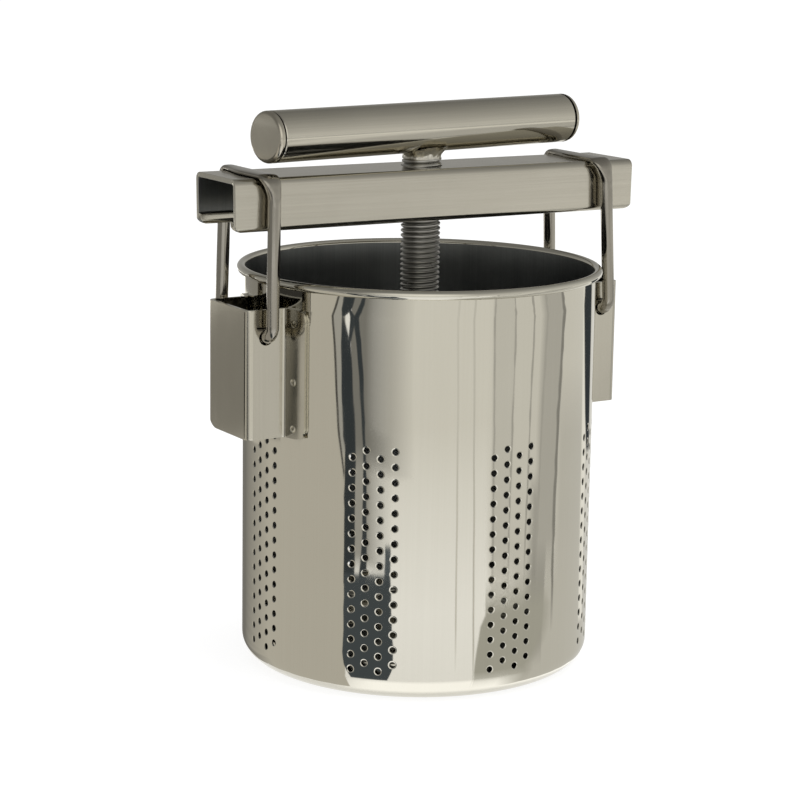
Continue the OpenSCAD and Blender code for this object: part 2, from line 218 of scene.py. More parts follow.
@dataclass(frozen=True)
class SteelFinish:
    """One finish of steel.

    Attributes:
        name: Name of the material.
        slot: The record's slot that the finish belongs to; not used in this script.
        dark: Tone in the lines.
        light: Tone between the lines.
        roughness: Least and greatest roughness.
        grain: Direction of the lines.
        turn: Turn of the lines about Z, in degrees.
        line_depth: Depth of the lines, in metres.
        wave_depth: Depth of the broad waves of the sheet, in metres.
        wave_scale: Waves per metre.
        scratch: Share of scratches that shows.
        shade_radius: Radii between which a painted shade, darkest at the thread's roots, gives way to the
            plain tone, in metres, or none.
        burnt: Tone where the mesh has heat, or none.
    """

    name: str
    slot: str
    dark: Rgb
    light: Rgb
    roughness: tuple[float, float]
    grain: Grain = Grain.NONE
    turn: float = 0.0
    line_depth: float = 0.000004
    wave_depth: float = 0.0
    wave_scale: float = 30.0
    scratch: float = 0.25
    shade_radius: Optional[tuple[float, float]] = None
    burnt: Optional[Rgb] = None

    def material(self) -> bpy.types.Material:
        """Gives the material, and makes it the first time."""
        made = bpy.data.materials.get(self.name)
        return made or self._make()

    def _make(self) -> bpy.types.Material:
        """Builds the material's nodes.

        Returns:
            The material.
        """
        made = bpy.data.materials.new(self.name)
        made.use_nodes = True
        bench = NodeBench(made.node_tree)
        place = bench.add("ShaderNodeTexCoord").outputs["Object"]
        turn = (0.0, 0.0, math.radians(-self.turn))
        turned = bench.add("ShaderNodeMapping", {"Vector": place, "Rotation": turn})
        drawn = bench.add("ShaderNodeMapping", {"Vector": turned.outputs[0], "Scale": self.grain.value})
        lines = bench.add("ShaderNodeGroup", node_tree=bpy.data.node_groups["drawn_lines"])
        marks = bench.add("ShaderNodeGroup", node_tree=bpy.data.node_groups["hand_marks"])
        made.node_tree.links.new(drawn.outputs[0], lines.inputs["Line Place"])
        made.node_tree.links.new(place, lines.inputs["Cloud Place"])
        made.node_tree.links.new(place, marks.inputs["Place"])

        tone_share = bench.add("ShaderNodeMix", {
            0: CLOUD_SHARE, 2: lines.outputs["Lines"], 3: lines.outputs["Clouds"]})
        tone = bench.blend(tone_share.outputs[0], (*self.dark, 1.0), (*self.light, 1.0))
        # Painted shade: the dark tone is laid back over the thread's roots, where the flanks shade them.
        if self.shade_radius:
            tone = bench.blend(self._radius_share(bench, place), (*self.dark, 1.0), tone)
        if self.burnt:
            heat = bench.add("ShaderNodeAttribute", attribute_name=HEAT).outputs["Fac"]
            tone = bench.blend(heat, tone, (*self.burnt, 1.0))
        low, high = self.roughness
        worn = bench.math("MULTIPLY", marks.outputs["Smudges"], WEAR_SHARE)
        plain = bench.math("MULTIPLY", lines.outputs["Clouds"], 1.0 - WEAR_SHARE)
        spread = bench.math("ADD", plain, worn)
        roughness = bench.ramp(spread, 0.0, 1.0, low, high)
        if self.burnt:
            roughness = bench.math("MAXIMUM", roughness, bench.math("MULTIPLY", heat, BURNT_ROUGHNESS))

        scratch = bench.math("MULTIPLY", marks.outputs["Scratches"], -self.scratch)
        fine = bench.math("ADD", lines.outputs["Lines"], scratch)
        normal = bench.add("ShaderNodeBump", {"Strength": 1.0, "Distance": self.line_depth, "Height": fine})
        if self.wave_depth:
            waves = bench.noise(place, self.wave_scale, 1.0)
            normal = bench.add("ShaderNodeBump", {
                "Strength": 1.0, "Distance": self.wave_depth, "Height": waves, "Normal": normal.outputs[0]})
        steel = bench.add("ShaderNodeBsdfPrincipled", {
            "Base Color": tone, "Metallic": 1.0, "Roughness": roughness, "Normal": normal.outputs[0]})
        sink = bench.add("ShaderNodeOutputMaterial")
        made.node_tree.links.new(steel.outputs[0], sink.inputs[0])
        return made

    def _radius_share(self, bench: NodeBench, place: bpy.types.NodeSocket) -> bpy.types.NodeSocket:
        """Gives the mask of the painted shade in the thread's roots, which lifts with the distance from the
        upright axis.
        """
        apart = bench.add("ShaderNodeSeparateXYZ", {0: place})
        squares = [bench.math("MULTIPLY", apart.outputs[axis], apart.outputs[axis]) for axis in (0, 1)]
        radius = bench.math("SQRT", bench.math("ADD", *squares))
        return bench.ramp(radius, *self.shade_radius)


HANDLE_TURN = 9.7
POLISHED = SteelFinish(
    "polished_sheet", "polished_steel", (0.63, 0.607, 0.53), (0.655, 0.632, 0.555), (0.03, 0.07),
    Grain.UPRIGHT, line_depth=0.0000004, wave_depth=0.00013, wave_scale=26.0, scratch=0.1)
# Painted shade: a rougher steel whose tone is darkened to paint in the shade inside the bucket and the beam's
# channel.
INSIDE = SteelFinish(
    "pickled_inside", "polished_steel", (0.22, 0.229, 0.227), (0.32, 0.331, 0.327), (0.28, 0.36),
    Grain.UPRIGHT, line_depth=0.000001, scratch=0.0)
BRUSHED = SteelFinish(
    "brushed_channel", "brushed_sheet", (0.53, 0.505, 0.435), (0.61, 0.585, 0.51), (0.13, 0.2),
    Grain.ALONG_BEAM, line_depth=0.000006, scratch=0.0)
FOLDED = SteelFinish(
    "satin_folded_sheet", "brushed_sheet", (0.545, 0.52, 0.445), (0.585, 0.56, 0.485), (0.1, 0.17),
    Grain.UPRIGHT, line_depth=0.000002, wave_depth=0.00003, scratch=0.0, burnt=(0.07, 0.06, 0.05))
ROD = SteelFinish(
    "bright_drawn_rod", "bright_rod", (0.32, 0.3, 0.262), (0.38, 0.36, 0.312), (0.1, 0.18),
    Grain.UPRIGHT, line_depth=0.000003, scratch=0.0)
TUBE = SteelFinish(
    "satin_handle_tube", "satin_tube", (0.58, 0.553, 0.478), (0.665, 0.638, 0.552), (0.09, 0.15),
    Grain.ALONG_BEAM, HANDLE_TURN, line_depth=0.000003, wave_depth=0.00002, wave_scale=45.0, scratch=0.0)
# The thread carries a painted shade in its roots, set by shade_radius.
THREAD = SteelFinish(
    "oiled_thread", "screw_steel", (0.3, 0.294, 0.276), (0.74, 0.73, 0.69), (0.24, 0.36), Grain.AROUND,
    scratch=0.0, shade_radius=(0.0068, 0.0074))
DARK = SteelFinish("dark_machined", "dark_steel", (0.24, 0.24, 0.235), (0.34, 0.335, 0.32), (0.28, 0.42))
WELD = SteelFinish(
    "weld_bead", "weld_steel", (0.46, 0.435, 0.37), (0.7, 0.68, 0.62), (0.12, 0.24),
    line_depth=0.00001, scratch=0.0)
CAP = SteelFinish(
    "satin_end_cap", "satin_tube", (0.52, 0.485, 0.41), (0.58, 0.55, 0.465), (0.13, 0.2),
    line_depth=0.000002, scratch=0.0)
# Painted shade: near-black steel on the cap's hidden step and plug, so the groove reads as a shadow.
GROOVE = SteelFinish("cap_groove_shade", "satin_tube", (0.02, 0.019, 0.017), (0.03, 0.028, 0.025), (0.4, 0.5))
HUB = SteelFinish(
    "turned_hub", "brushed_sheet", (0.50, 0.48, 0.42), (0.60, 0.575, 0.50), (0.2, 0.32), Grain.AROUND)


@dataclass(frozen=True)
class Role:
    """What a finished mesh stands for and the body that carries it."""

    body: str
    node: str


def hand_over(bm: BMesh, name: str, role: Role, finish: SteelFinish, crease: float = 38.0,
              weighted: bool = False, true_normal: Optional[Callable] = None) -> bpy.types.Object:
    """Turns a mesh in millimetres into a piece of the press.

    Args:
        bm: The mesh, which is freed.
        name: Name of the piece.
        role: The solid that it stands for and its body.
        finish: Its steel.
        crease: Angle between faces, in degrees, above which an edge stays sharp.
        weighted: Keeps large faces flat beside narrow rounded edges.
        true_normal: Gives the exact normal at a point of a face, or none to leave it.

    Returns:
        The piece.
    """
    bmesh.ops.scale(bm, vec=(MM, MM, MM), verts=bm.verts)
    for face in bm.faces:
        face.smooth = True
    for edge in bm.edges:
        edge.smooth = len(edge.link_faces) == 2 and edge.calc_face_angle(0.0) < math.radians(crease)
    mesh = bpy.data.meshes.new(name)
    bm.to_mesh(mesh)
    bm.free()
    if true_normal:
        normals = [true_normal(mesh.vertices[mesh.loops[loop].vertex_index].co, face.normal)
                   for face in mesh.polygons for loop in face.loop_indices]
        mesh.normals_split_custom_set(normals)
    piece = bpy.data.objects.new(name, mesh)
    bpy.context.scene.collection.objects.link(piece)
    mesh.materials.append(finish.material())
    if weighted:
        piece.modifiers.new("flat_faces", "WEIGHTED_NORMAL").keep_sharp = True
    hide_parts(role.node)
    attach(piece, role.body)
    LOG.info("%s: %d faces on %s", name, len(mesh.polygons), role.body)
    return piece


def extrude_edges(bm: BMesh, edges: Sequence[BMEdge]) -> tuple[list[BMVert], list[BMEdge]]:
    """Extrudes a chain or loop of edges in place.

    Args:
        bm: The mesh.
        edges: The edges.

    Returns:
        The new vertices and the new chain of edges.
    """
    made = bmesh.ops.extrude_edge_only(bm, edges=list(edges))["geom"]
    fresh = {item for item in made if isinstance(item, BMVert)}
    chain = [item for item in made if isinstance(item, BMEdge) and set(item.verts) <= fresh]
    return list(fresh), chain


def turn_profile(bm: BMesh, profile: Sequence[Pair], steps: int, closed: bool = False) -> list[BMVert]:
    """Spins a profile of radii and heights about Z.

    Args:
        bm: The mesh that takes the turned form.
        profile: Pairs of radius and height.
        steps: Faces around.
        closed: Joins the profile's end to its start.

    Returns:
        The new vertices.
    """
    before = set(bm.verts)
    points = [bm.verts.new((radius, 0.0, height)) for radius, height in profile]
    pairs = list(zip(points, points[1:])) + ([(points[-1], points[0])] if closed else [])
    lines = [bm.edges.new(pair) for pair in pairs]
    bmesh.ops.spin(bm, geom=points + lines, cent=(0, 0, 0), axis=(0, 0, 1), angle=math.tau, steps=steps,
                   use_merge=True)
    made = [vert for vert in bm.verts if vert not in before]
    bmesh.ops.remove_doubles(bm, verts=made, dist=MERGE)
    made = [vert for vert in bm.verts if vert not in before]
    faces = list({face for vert in made for face in vert.link_faces})
    bmesh.ops.recalc_face_normals(bm, faces=faces)
    return made


def arc(centre: Pair, radius: float, start: float, end: float, steps: int) -> list[Pair]:
    """Gives points along an arc, both ends included, with its angles in degrees."""
    turns = [math.radians(start + (end - start) * step / steps) for step in range(steps + 1)]
    return [(centre[0] + radius * math.cos(turn), centre[1] + radius * math.sin(turn)) for turn in turns]


@dataclass
class BentPath:
    """A plane line of straights and arcs, followed by its running length."""

    point: Vector
    heading: float
    legs: list[tuple] = field(default_factory=list)
    length: float = 0.0

    def straight(self, length: float) -> "BentPath":
        """Adds a straight."""
        return self._leg(length, 0.0)

    def bend(self, degrees: float, radius: float) -> "BentPath":
        """Adds an arc, to the left where the angle is positive."""
        return self._leg(abs(math.radians(degrees)) * radius, math.radians(degrees))

    def _leg(self, length: float, turn: float) -> "BentPath":
        """Adds a stretch and moves the end of the line to its end."""
        self.legs.append((self.length, length, self.point, self.heading, turn))
        self.length += length
        self.point, _ = self.at(self.length)
        self.heading += turn
        return self

    def at(self, run: float) -> tuple[Vector, Vector]:
        """Gives the point at a running length and the normal to its left."""
        near = [leg for leg in self.legs if run >= leg[0] - MERGE]
        start, length, point, heading, turn = near[-1] if near else self.legs[0]
        angle = heading + turn * (run - start) / length
        normal = Vector((-math.sin(angle), math.cos(angle)))
        if not turn:
            return point + Vector((math.cos(heading), math.sin(heading))) * (run - start), normal
        radius = length / turn
        centre = point + Vector((-math.sin(heading), math.cos(heading))) * radius
        return centre - normal * radius, normal

    def levels(self, arc_steps: int) -> list[float]:
        """Gives the running lengths at the ends of straights and evenly along arcs."""
        marks = [0.0]
        for start, length, _, _, turn in self.legs:
            steps = arc_steps if turn else 1
            marks += [start + length * step / steps for step in range(1, steps + 1)]
        return marks


def with_block(levels: Sequence[float], centre: float, half: float) -> list[float]:
    """Puts five even levels around a centre in place of those that lie there.

    Args:
        levels: The levels of a grid.
        centre: Middle of the block.
        half: Half of the block's width.

    Returns:
        The sorted levels.
    """
    kept = [level for level in levels if abs(level - centre) > half + MERGE]
    return sorted(kept + [centre + half * share for share in (-1.0, -0.5, 0.0, 0.5, 1.0)])


class SheetBlank:
    """A flat sheet that is punched, rounded, folded and given its thickness.

    X runs across the blank, Y up it and Z out of its outer face.
    """

    RING = 16
    CUT_EDGE = math.radians(50.0)

    def __init__(self, across: Sequence[float], up: Sequence[float]) -> None:
        """Extrudes a row of edges from level to level.

        Args:
            across: Levels of the grid across the sheet.
            up: Levels of the grid up the sheet.
        """
        self.bm = bmesh.new()
        self.heat = self.bm.verts.layers.float.new(HEAT)
        row = [self.bm.verts.new((level, up[0], 0.0)) for level in across]
        edges = [self.bm.edges.new(pair) for pair in zip(row, row[1:])]
        for low, high in zip(up, up[1:]):
            fresh, edges = extrude_edges(self.bm, edges)
            bmesh.ops.translate(self.bm, vec=(0.0, high - low, 0.0), verts=fresh)

    def punch(self, centre: Pair, half: Pair, rings: Sequence[Pair], closed: bool = False,
              heats: Sequence[float] = ()) -> None:
        """Puts a round hole or mark into a block of four by four faces.

        Args:
            centre: Middle of the block.
            half: Half of the block's width and height.
            rings: Radius and depth of each ring, from the outermost to the innermost.
            closed: Leaves a floor in the innermost ring.
            heats: Burnt share of each ring, or none for bright rings.
        """
        middle = Vector((*centre, 0.0))
        gone = []
        for face in self.bm.faces:
            offset = face.calc_center_median() - middle
            if abs(offset.x) < half[0] and abs(offset.y) < half[1]:
                gone.append(face)
        bmesh.ops.delete(self.bm, geom=gone, context="FACES")
        radius, depth = rings[-1]
        start = Matrix.Translation(middle + Vector((0.0, 0.0, depth)))
        ring = bmesh.ops.create_circle(
            self.bm, segments=self.RING, radius=radius, matrix=start, cap_ends=closed)["verts"]
        edges = list({edge for vert in ring for edge in vert.link_edges})
        burnt = list(reversed(heats or [0.0] * len(rings)))
        for vert in ring:
            vert[self.heat] = burnt[0]
        for (radius, depth), heat in zip(reversed(rings[:-1]), burnt[1:]):
            edges = self._grow(edges, middle, lambda share: Vector((
                radius * math.cos(math.tau * share), radius * math.sin(math.tau * share), depth)))
            for edge in edges:
                for vert in edge.verts:
                    vert[self.heat] = heat
        border = self._grow(edges, middle, lambda share: Vector((
            half[0] * self._square(share), half[1] * self._square(share - 0.25), 0.0)))
        for edge in border:
            for vert in edge.verts:
                vert[self.heat] = 0.0

    def _grow(self, edges: Sequence[BMEdge], middle: Vector, spot: Callable[[float], Vector]) -> list[BMEdge]:
        """Extrudes a ring outwards to places given by each vertex's share of a turn."""
        fresh, chain = extrude_edges(self.bm, edges)
        for vert in fresh:
            offset = vert.co - middle
            share = round(math.atan2(offset.y, offset.x) / math.tau * self.RING) / self.RING
            vert.co = middle + spot(share)
        return chain

    @staticmethod
    def _square(share: float) -> float:
        """Gives the side-to-side place on a square for a share of a turn."""
        from_side = abs((share + 0.5) % 1.0 - 0.5)
        return min(1.0, max(-1.0, 2.0 - 8.0 * from_side))

    def round_corner(self, corner: Pair, inwards: Pair, radius: float) -> None:
        """Draws the border near a corner in to an arc.

        Args:
            corner: The corner.
            inwards: Signs of the directions from the corner into the sheet.
            radius: Radius of the arc.
        """
        middle = Vector((corner[0] + inwards[0] * radius, corner[1] + inwards[1] * radius, 0.0))
        for vert in self.bm.verts:
            offset = vert.co - middle
            beyond = offset.x * inwards[0] < 0.0 and offset.y * inwards[1] < 0.0
            if vert.is_boundary and beyond and offset.length > radius:
                vert.co = middle + offset.normalized() * radius

    def fold(self, place: Place) -> None:
        """Faces the sheet outwards, merges its seams and moves each point to its folded place."""
        bmesh.ops.remove_doubles(self.bm, verts=self.bm.verts, dist=MERGE)
        self.bm.normal_update()
        bmesh.ops.reverse_faces(self.bm, faces=[face for face in self.bm.faces if face.normal.z < 0.0])
        for vert in self.bm.verts:
            vert.co = place(vert.co)

    def thicken(self, sheet: float, edge: float = 0.0) -> BMesh:
        """Gives the sheet its thickness on its inner side.

        Args:
            sheet: Thickness.
            edge: Width of the rounding along cut edges.

        Returns:
            The mesh.
        """
        bmesh.ops.remove_doubles(self.bm, verts=self.bm.verts, dist=MERGE)
        self.bm.normal_update()
        bmesh.ops.solidify(self.bm, geom=self.bm.faces[:], thickness=sheet)
        self.bm.normal_update()
        if edge:
            sharp = [item for item in self.bm.edges if item.calc_face_angle(0.0) > self.CUT_EDGE]
            bmesh.ops.bevel(self.bm, geom=sharp, offset=edge, segments=2, profile=0.5, affect="EDGES",
                            material=-1, clamp_overlap=True)
        return self.bm


@dataclass
class Bucket:
    """The drawn bucket with its rolled rim and its bands of punched holes."""

    sheet: float = 1.0
    corner_r: float = 9.0
    roll_r: float = 1.75
    bands: int = 8
    columns: int = 4
    rows: int = 15
    pitch: float = 6.03
    column_angle: float = 4.54
    top_hole_z: float = 99.7
    hole_r: float = 1.25
    lip: tuple[Pair, ...] = ((0.47, 0.0), (0.25, -0.03), (0.0, -0.2))
    plain_steps: int = 16
    wall_rows: int = 6
    roll_steps: int = 16
    corner_steps: int = 12
    floor_rings: tuple[float, ...] = (0.7, 0.4, 0.12)
    wall_slack: float = 0.01
    wall_lean: float = 0.995
    inside_drop: float = 3.4
    inside_lean: float = -0.1
    floor_lean: float = 0.5
    wall_r: float = field(init=False)
    height: float = field(init=False)

    def __post_init__(self) -> None:
        """Takes the wall and the height from the solid."""
        high = cad_box("bucket")[1]
        self.height = high.z
        self.wall_r = high.x - 2.0 * self.roll_r + self.sheet

    def sector(self) -> SheetBlank:
        """Punches the blank of one band and the plain wall beside it.

        Returns:
            The flat blank.
        """
        arc_mm = math.radians(1.0) * self.wall_r
        column = self.column_angle * arc_mm
        band = column * self.columns
        plain = self.wall_r * math.tau / self.bands - band
        quarters = 4 * self.columns
        across = [-band / 2 + band * step / quarters for step in range(quarters)]
        across += [band / 2 + plain * step / self.plain_steps for step in range(self.plain_steps + 1)]
        top = self.top_hole_z + self.pitch / 2
        levels = 4 * self.rows + 2
        up = [top - self.pitch / 4 * step for step in range(levels, -1, -1)]
        blank = SheetBlank(across, up)
        rings = [(self.hole_r + wider, depth) for wider, depth in self.lip]
        for number in range(self.columns):
            for row in range(self.rows):
                drop = row * self.pitch + (self.pitch / 2 if number % 2 == 0 else 0.0)
                spot = ((number - (self.columns - 1) / 2) * column, self.top_hole_z - drop)
                blank.punch(spot, (column / 2, self.pitch / 2), rings)
        return blank

    def roll(self, point: Vector) -> Vector:
        """Rolls a point of the flat blank round the bucket's axis."""
        turn = point.x / self.wall_r
        radius = self.wall_r + point.z
        return Vector((radius * math.sin(turn), -radius * math.cos(turn), point.y))

    def draw_out(self, bm: BMesh, height: float, profile: Sequence[Pair]) -> list[BMEdge]:
        """Extrudes the open edge at a height along a profile.

        Args:
            bm: The rolled wall.
            height: Height of the open edge.
            profile: Radius and height of each further ring.

        Returns:
            The last ring of edges.
        """
        ring = [edge for edge in bm.edges if edge.is_boundary
                and all(abs(vert.co.z - height) < MERGE for vert in edge.verts)]
        radius = self.wall_r
        for next_radius, next_height in profile:
            fresh, ring = extrude_edges(bm, ring)
            share = next_radius / radius
            bmesh.ops.scale(bm, vec=(share, share, 1.0), verts=fresh)
            bmesh.ops.translate(bm, vec=(0.0, 0.0, next_height - height), verts=fresh)
            radius, height = next_radius, next_height
        return ring

    def true_normal(self, point: Vector, face_normal: Vector) -> Vector:
        """Gives the wall's exact normal, and none elsewhere."""
        out = Vector((point.x, point.y, 0.0)) / MM
        lean = abs(face_normal.dot(out.normalized()))
        past = out.length - self.wall_r
        on_wall = min(abs(past), abs(past + self.sheet)) < self.wall_slack
        straight = self.corner_r < point.z / MM < self.height - self.roll_r
        if not on_wall or not straight or lean < self.wall_lean:
            return Vector((0.0, 0.0, 0.0))
        return out.normalized() * math.copysign(1.0, face_normal.dot(out))

    def build(self) -> None:
        """Rolls the wall, draws the rim and the base and hands the bucket over."""
        blank = self.sector()
        blank.fold(self.roll)
        bm = blank.bm
        turn = math.tau / self.bands
        bmesh.ops.spin(bm, geom=bm.verts[:] + bm.edges[:] + bm.faces[:], cent=(0, 0, 0), axis=(0, 0, 1),
                       angle=math.tau - turn, steps=self.bands - 1, use_duplicate=True)
        bmesh.ops.remove_doubles(bm, verts=bm.verts, dist=MERGE)
        top = self.top_hole_z + self.pitch / 2
        bottom = top - self.pitch * (self.rows + 0.5)
        inner_roll = self.roll_r - self.sheet
        roll_z = self.height - self.roll_r
        rise = (roll_z - top) / self.wall_rows
        wall = [(self.wall_r, top + rise * row) for row in range(1, self.wall_rows + 1)]
        rim = arc((self.wall_r + inner_roll, roll_z), inner_roll, 180.0, -90.0, self.roll_steps)
        self.draw_out(bm, top, wall + rim[1:])
        centre = (self.wall_r - self.corner_r, self.corner_r)
        corner = arc(centre, self.corner_r, 0.0, -90.0, self.corner_steps)
        floor = [(self.wall_r * share, 0.0) for share in self.floor_rings]
        ring = self.draw_out(bm, bottom, corner + floor)
        bmesh.ops.edgeloop_fill(bm, edges=ring)
        bmesh.ops.recalc_face_normals(bm, faces=bm.faces)
        if min(bm.faces, key=lambda face: face.calc_center_median().z).normal.z > 0.0:
            bmesh.ops.reverse_faces(bm, faces=bm.faces)
        blank.thicken(self.sheet)
        shell = hand_over(bm, "bucket_shell", Role("frame", "bucket"), POLISHED, true_normal=self.true_normal)
        # The inner faces below the rim take the darker steel with painted shade.
        shell.data.materials.append(INSIDE.material())
        for face in shell.data.polygons:
            out = Vector((face.center.x, face.center.y, 0.0)).normalized()
            inwards = face.normal.dot(out) < self.inside_lean or face.normal.z > self.floor_lean
            face.material_index = int(inwards and face.center.z < (self.height - self.inside_drop) * MM)


@dataclass
class Bracket:
    """One folded bracket: a box open at top and bottom, with two flanges spot-welded to the wall."""

    side: Side
    sheet: float = 1.5
    bend_r: float = 2.6
    root_bend_r: float = 1.2
    width: float = 33.0
    wall_r: float = 71.03
    flange_angle: float = 21.5
    flange_corner_r: float = 4.5
    eye_r: float = 3.1
    eye_half: float = 4.1
    eye_x: float = 78.7
    eye_z: float = 140.3
    spot_r: float = 1.5
    spot_half: float = 3.4
    spots: tuple[tuple[float, float, float], ...] = ((3.8, 2.4, 0.3), (22.2, 2.4, 0.3), (45.0, 3.6, 1.0))
    spot_share: float = 0.6
    spot_blot: float = 0.86
    spot_dish: tuple[Pair, ...] = ((0.0, 0.0), (-0.3, -0.14), (-0.7, -0.05))
    spot_heats: tuple[float, ...] = (0.45, 0.9, 0.95, 0.8)
    border_shares: Pair = (0.12, 0.3)
    bend_steps: int = 6
    corner_r: float = 7.4
    corner_steps: tuple[int, int] = (6, 3)
    squeeze: float = 19.0
    edge: float = 0.22
    flat_lean: float = 0.9998
    flange_lean: float = 0.999
    flange_slack: float = 0.01

    def path(self) -> BentPath:
        """Lays out the bracket's plan along its outer face, from one flange to the other.

        Returns:
            The path in plan.
        """
        low, high = cad_box(self.node)
        reach = max(abs(low.x), abs(high.x))
        flange_r = self.wall_r + self.sheet
        half = self.width / 2
        meet = math.degrees(math.asin((half + self.root_bend_r) / (flange_r + self.root_bend_r)))
        start = math.radians(-self.flange_angle)
        path = BentPath(Vector((flange_r * math.cos(start), flange_r * math.sin(start))), start + math.pi / 2)
        root = (flange_r + self.root_bend_r) * math.cos(math.radians(meet))
        side = reach - self.bend_r - root
        path.bend(self.flange_angle - meet, flange_r).bend(meet - 90.0, self.root_bend_r).straight(side)
        path.bend(90.0, self.bend_r).straight(self.width - 2 * self.bend_r).bend(90.0, self.bend_r)
        path.straight(side).bend(meet - 90.0, self.root_bend_r).bend(self.flange_angle - meet, flange_r)
        self.eye_run = path.legs[2][0] + self.eye_x - root
        self.spot_run = path.legs[0][1] * self.spot_share
        return path

    @property
    def node(self) -> str:
        """Name of the solid."""
        return "bracket_" + self.side.name.lower()

    def build(self) -> None:
        """Punches, folds and hands over the bracket."""
        low, high = cad_box(self.node)
        high.x = max(abs(low.x), abs(high.x))
        path = self.path()
        eyes = (self.eye_run, path.length - self.eye_run)
        spots = (self.spot_run, path.length - self.spot_run)
        across = path.levels(self.bend_steps)
        for run in eyes:
            across = with_block(across, run, self.eye_half)
        for run in spots:
            across = with_block(across, run, self.spot_half)
        bend_start, bend = path.legs[5][0], path.legs[5][1]
        reach = self.corner_r - self.bend_r
        beside, behind = self.corner_steps
        across += [bend_start - reach * step / beside for step in range(1, beside + 1)]
        across += [bend_start + bend + reach * step / behind for step in range(1, behind)]
        border = [self.flange_corner_r * share for share in self.border_shares]
        across = sorted(across + border + [path.length - level for level in border])
        up = [low.z, high.z]
        up += [low.z + level for level in border] + [high.z - level for level in border]
        up = with_block(sorted(up), self.eye_z, self.eye_half)
        for height, half, _ in self.spots:
            up = with_block(up, low.z + height, half)
        blank = SheetBlank(across, up)
        for run in eyes:
            blank.punch((run, self.eye_z), (self.eye_half, self.eye_half), ((self.eye_r, 0.0),))
        for run in spots:
            for height, half, heat in self.spots:
                marks = [(half * self.spot_blot, 0.0)]
                marks += [(self.spot_r + wider, depth) for wider, depth in self.spot_dish]
                heats = [share * heat for share in self.spot_heats]
                blank.punch((run, low.z + height), (self.spot_half, half), marks, True, heats)
        for corner_x, inward_x in ((0.0, 1.0), (path.length, -1.0)):
            for corner_y, inward_y in ((low.z, 1.0), (high.z, -1.0)):
                blank.round_corner((corner_x, corner_y), (inward_x, inward_y), self.flange_corner_r)

        def place(point: Vector) -> Vector:
            """Folds a point of the blank along the plan."""
            spot, normal = path.at(point.x)
            spot = spot - normal * point.z
            return Vector((spot.x, spot.y, self.raised(spot, point.y, low.z, high.x)))

        blank.fold(place)
        bm = blank.thicken(self.sheet, self.edge)
        if self.side is Side.LEFT:
            bmesh.ops.scale(bm, vec=(-1.0, 1.0, 1.0), verts=bm.verts)
            bmesh.ops.reverse_faces(bm, faces=bm.faces)
        hand_over(bm, self.node + "_sheet", Role("frame", self.node), FOLDED, true_normal=self.true_normal)

    def raised(self, spot: Vector, height: float, base: float, reach: float) -> float:
        """Raises a point where the left bracket's lower corner at the rear is rounded off.

        Args:
            spot: The point in plan.
            height: Its height on a square corner.
            base: Height of the bracket's lower edge.
            reach: Distance of the outer face from the bucket's axis.

        Returns:
            Its height on the rounded corner.
        """
        if self.side is Side.RIGHT or spot.y < 0.0:
            return height
        faces = ((spot.x, reach), (spot.y, self.width / 2))
        past = min(max(0.0, place - face + self.corner_r) for place, face in faces)
        lift = self.corner_r - math.sqrt(max(0.0, self.corner_r ** 2 - past ** 2))
        return height + lift * max(0.0, 1.0 - (height - base) / self.squeeze)

    def true_normal(self, point: Vector, face_normal: Vector) -> Vector:
        """Gives the exact normal of the flat sides and of the flanges, and none elsewhere."""
        if max(abs(face_normal.x), abs(face_normal.y)) > self.flat_lean:
            return face_normal.copy()
        out = Vector((point.x, point.y, 0.0)) / MM
        past = out.length - self.wall_r
        on_flange = min(abs(past), abs(past - self.sheet)) < self.flange_slack
        lean = face_normal.dot(out.normalized())
        if not on_flange or abs(lean) < self.flange_lean:
            return Vector((0.0, 0.0, 0.0))
        return out.normalized() * math.copysign(1.0, lean)


@dataclass
class Beam:
    """The cross beam: a folded channel, open below, with hemmed lower edges."""

    sheet: float = 2.0
    bend_r: float = 2.8
    foot_r: float = 2.15
    hem: float = 2.15
    hole_r: float = 8.3
    hole_half: float = 11.0
    end_r: float = 3.4
    edge: float = 0.3
    bend_steps: int = 12
    hollow: float = 1.6
    hollow_slack: float = 0.2
    hollow_lean: float = -0.3

    def build(self) -> None:
        """Folds the channel, rounds its ends and hands it over."""
        low, high = cad_box("beam")
        width, height = high.y - low.y, high.z - low.z
        wall, web = height - self.foot_r - self.bend_r, width - 2 * self.bend_r
        path = BentPath(Vector((width / 2 - 2 * self.foot_r, low.z + self.foot_r + self.hem)), -math.pi / 2)
        path.straight(self.hem).bend(180.0, self.foot_r).straight(wall).bend(90.0, self.bend_r).straight(web)
        path.bend(90.0, self.bend_r).straight(wall).bend(180.0, self.foot_r).straight(self.hem)
        across = with_block(path.levels(self.bend_steps), path.length / 2, self.hole_half)
        margin = 2 * self.end_r
        up = with_block([low.x, low.x + margin, high.x - margin, high.x], 0.0, self.hole_half)
        blank = SheetBlank(across, up)
        blank.punch((path.length / 2, 0.0), (self.hole_half, self.hole_half), ((self.hole_r, 0.0),))

        def place(point: Vector) -> Vector:
            """Folds a point of the blank along the section."""
            spot, normal = path.at(point.x)
            short = max(0.0, self.end_r - (spot.y - low.z))
            relief = self.end_r - math.sqrt(self.end_r ** 2 - short ** 2)
            along = max(low.x + relief, min(high.x - relief, point.y))
            spot = spot - normal * point.z
            return Vector((along, spot.x, spot.y))

        blank.fold(place)
        bm = blank.thicken(self.sheet, self.edge)
        # The inner faces of the channel take the darker steel with painted shade.
        for face in bm.faces:
            spot = face.calc_center_median()
            inside = width / 2 - self.sheet - self.hollow_slack
            on_wall = face.normal.y * spot.y < 0.0 and abs(spot.y) > inside
            on_web = face.normal.z < self.hollow_lean and spot.z > high.z - 2.0 * self.sheet
            face.material_index = int((on_wall or on_web) and spot.z < high.z - self.hollow)
        piece = hand_over(bm, "beam_channel", Role("frame", "beam"), BRUSHED, weighted=True)
        piece.data.materials.append(INSIDE.material())


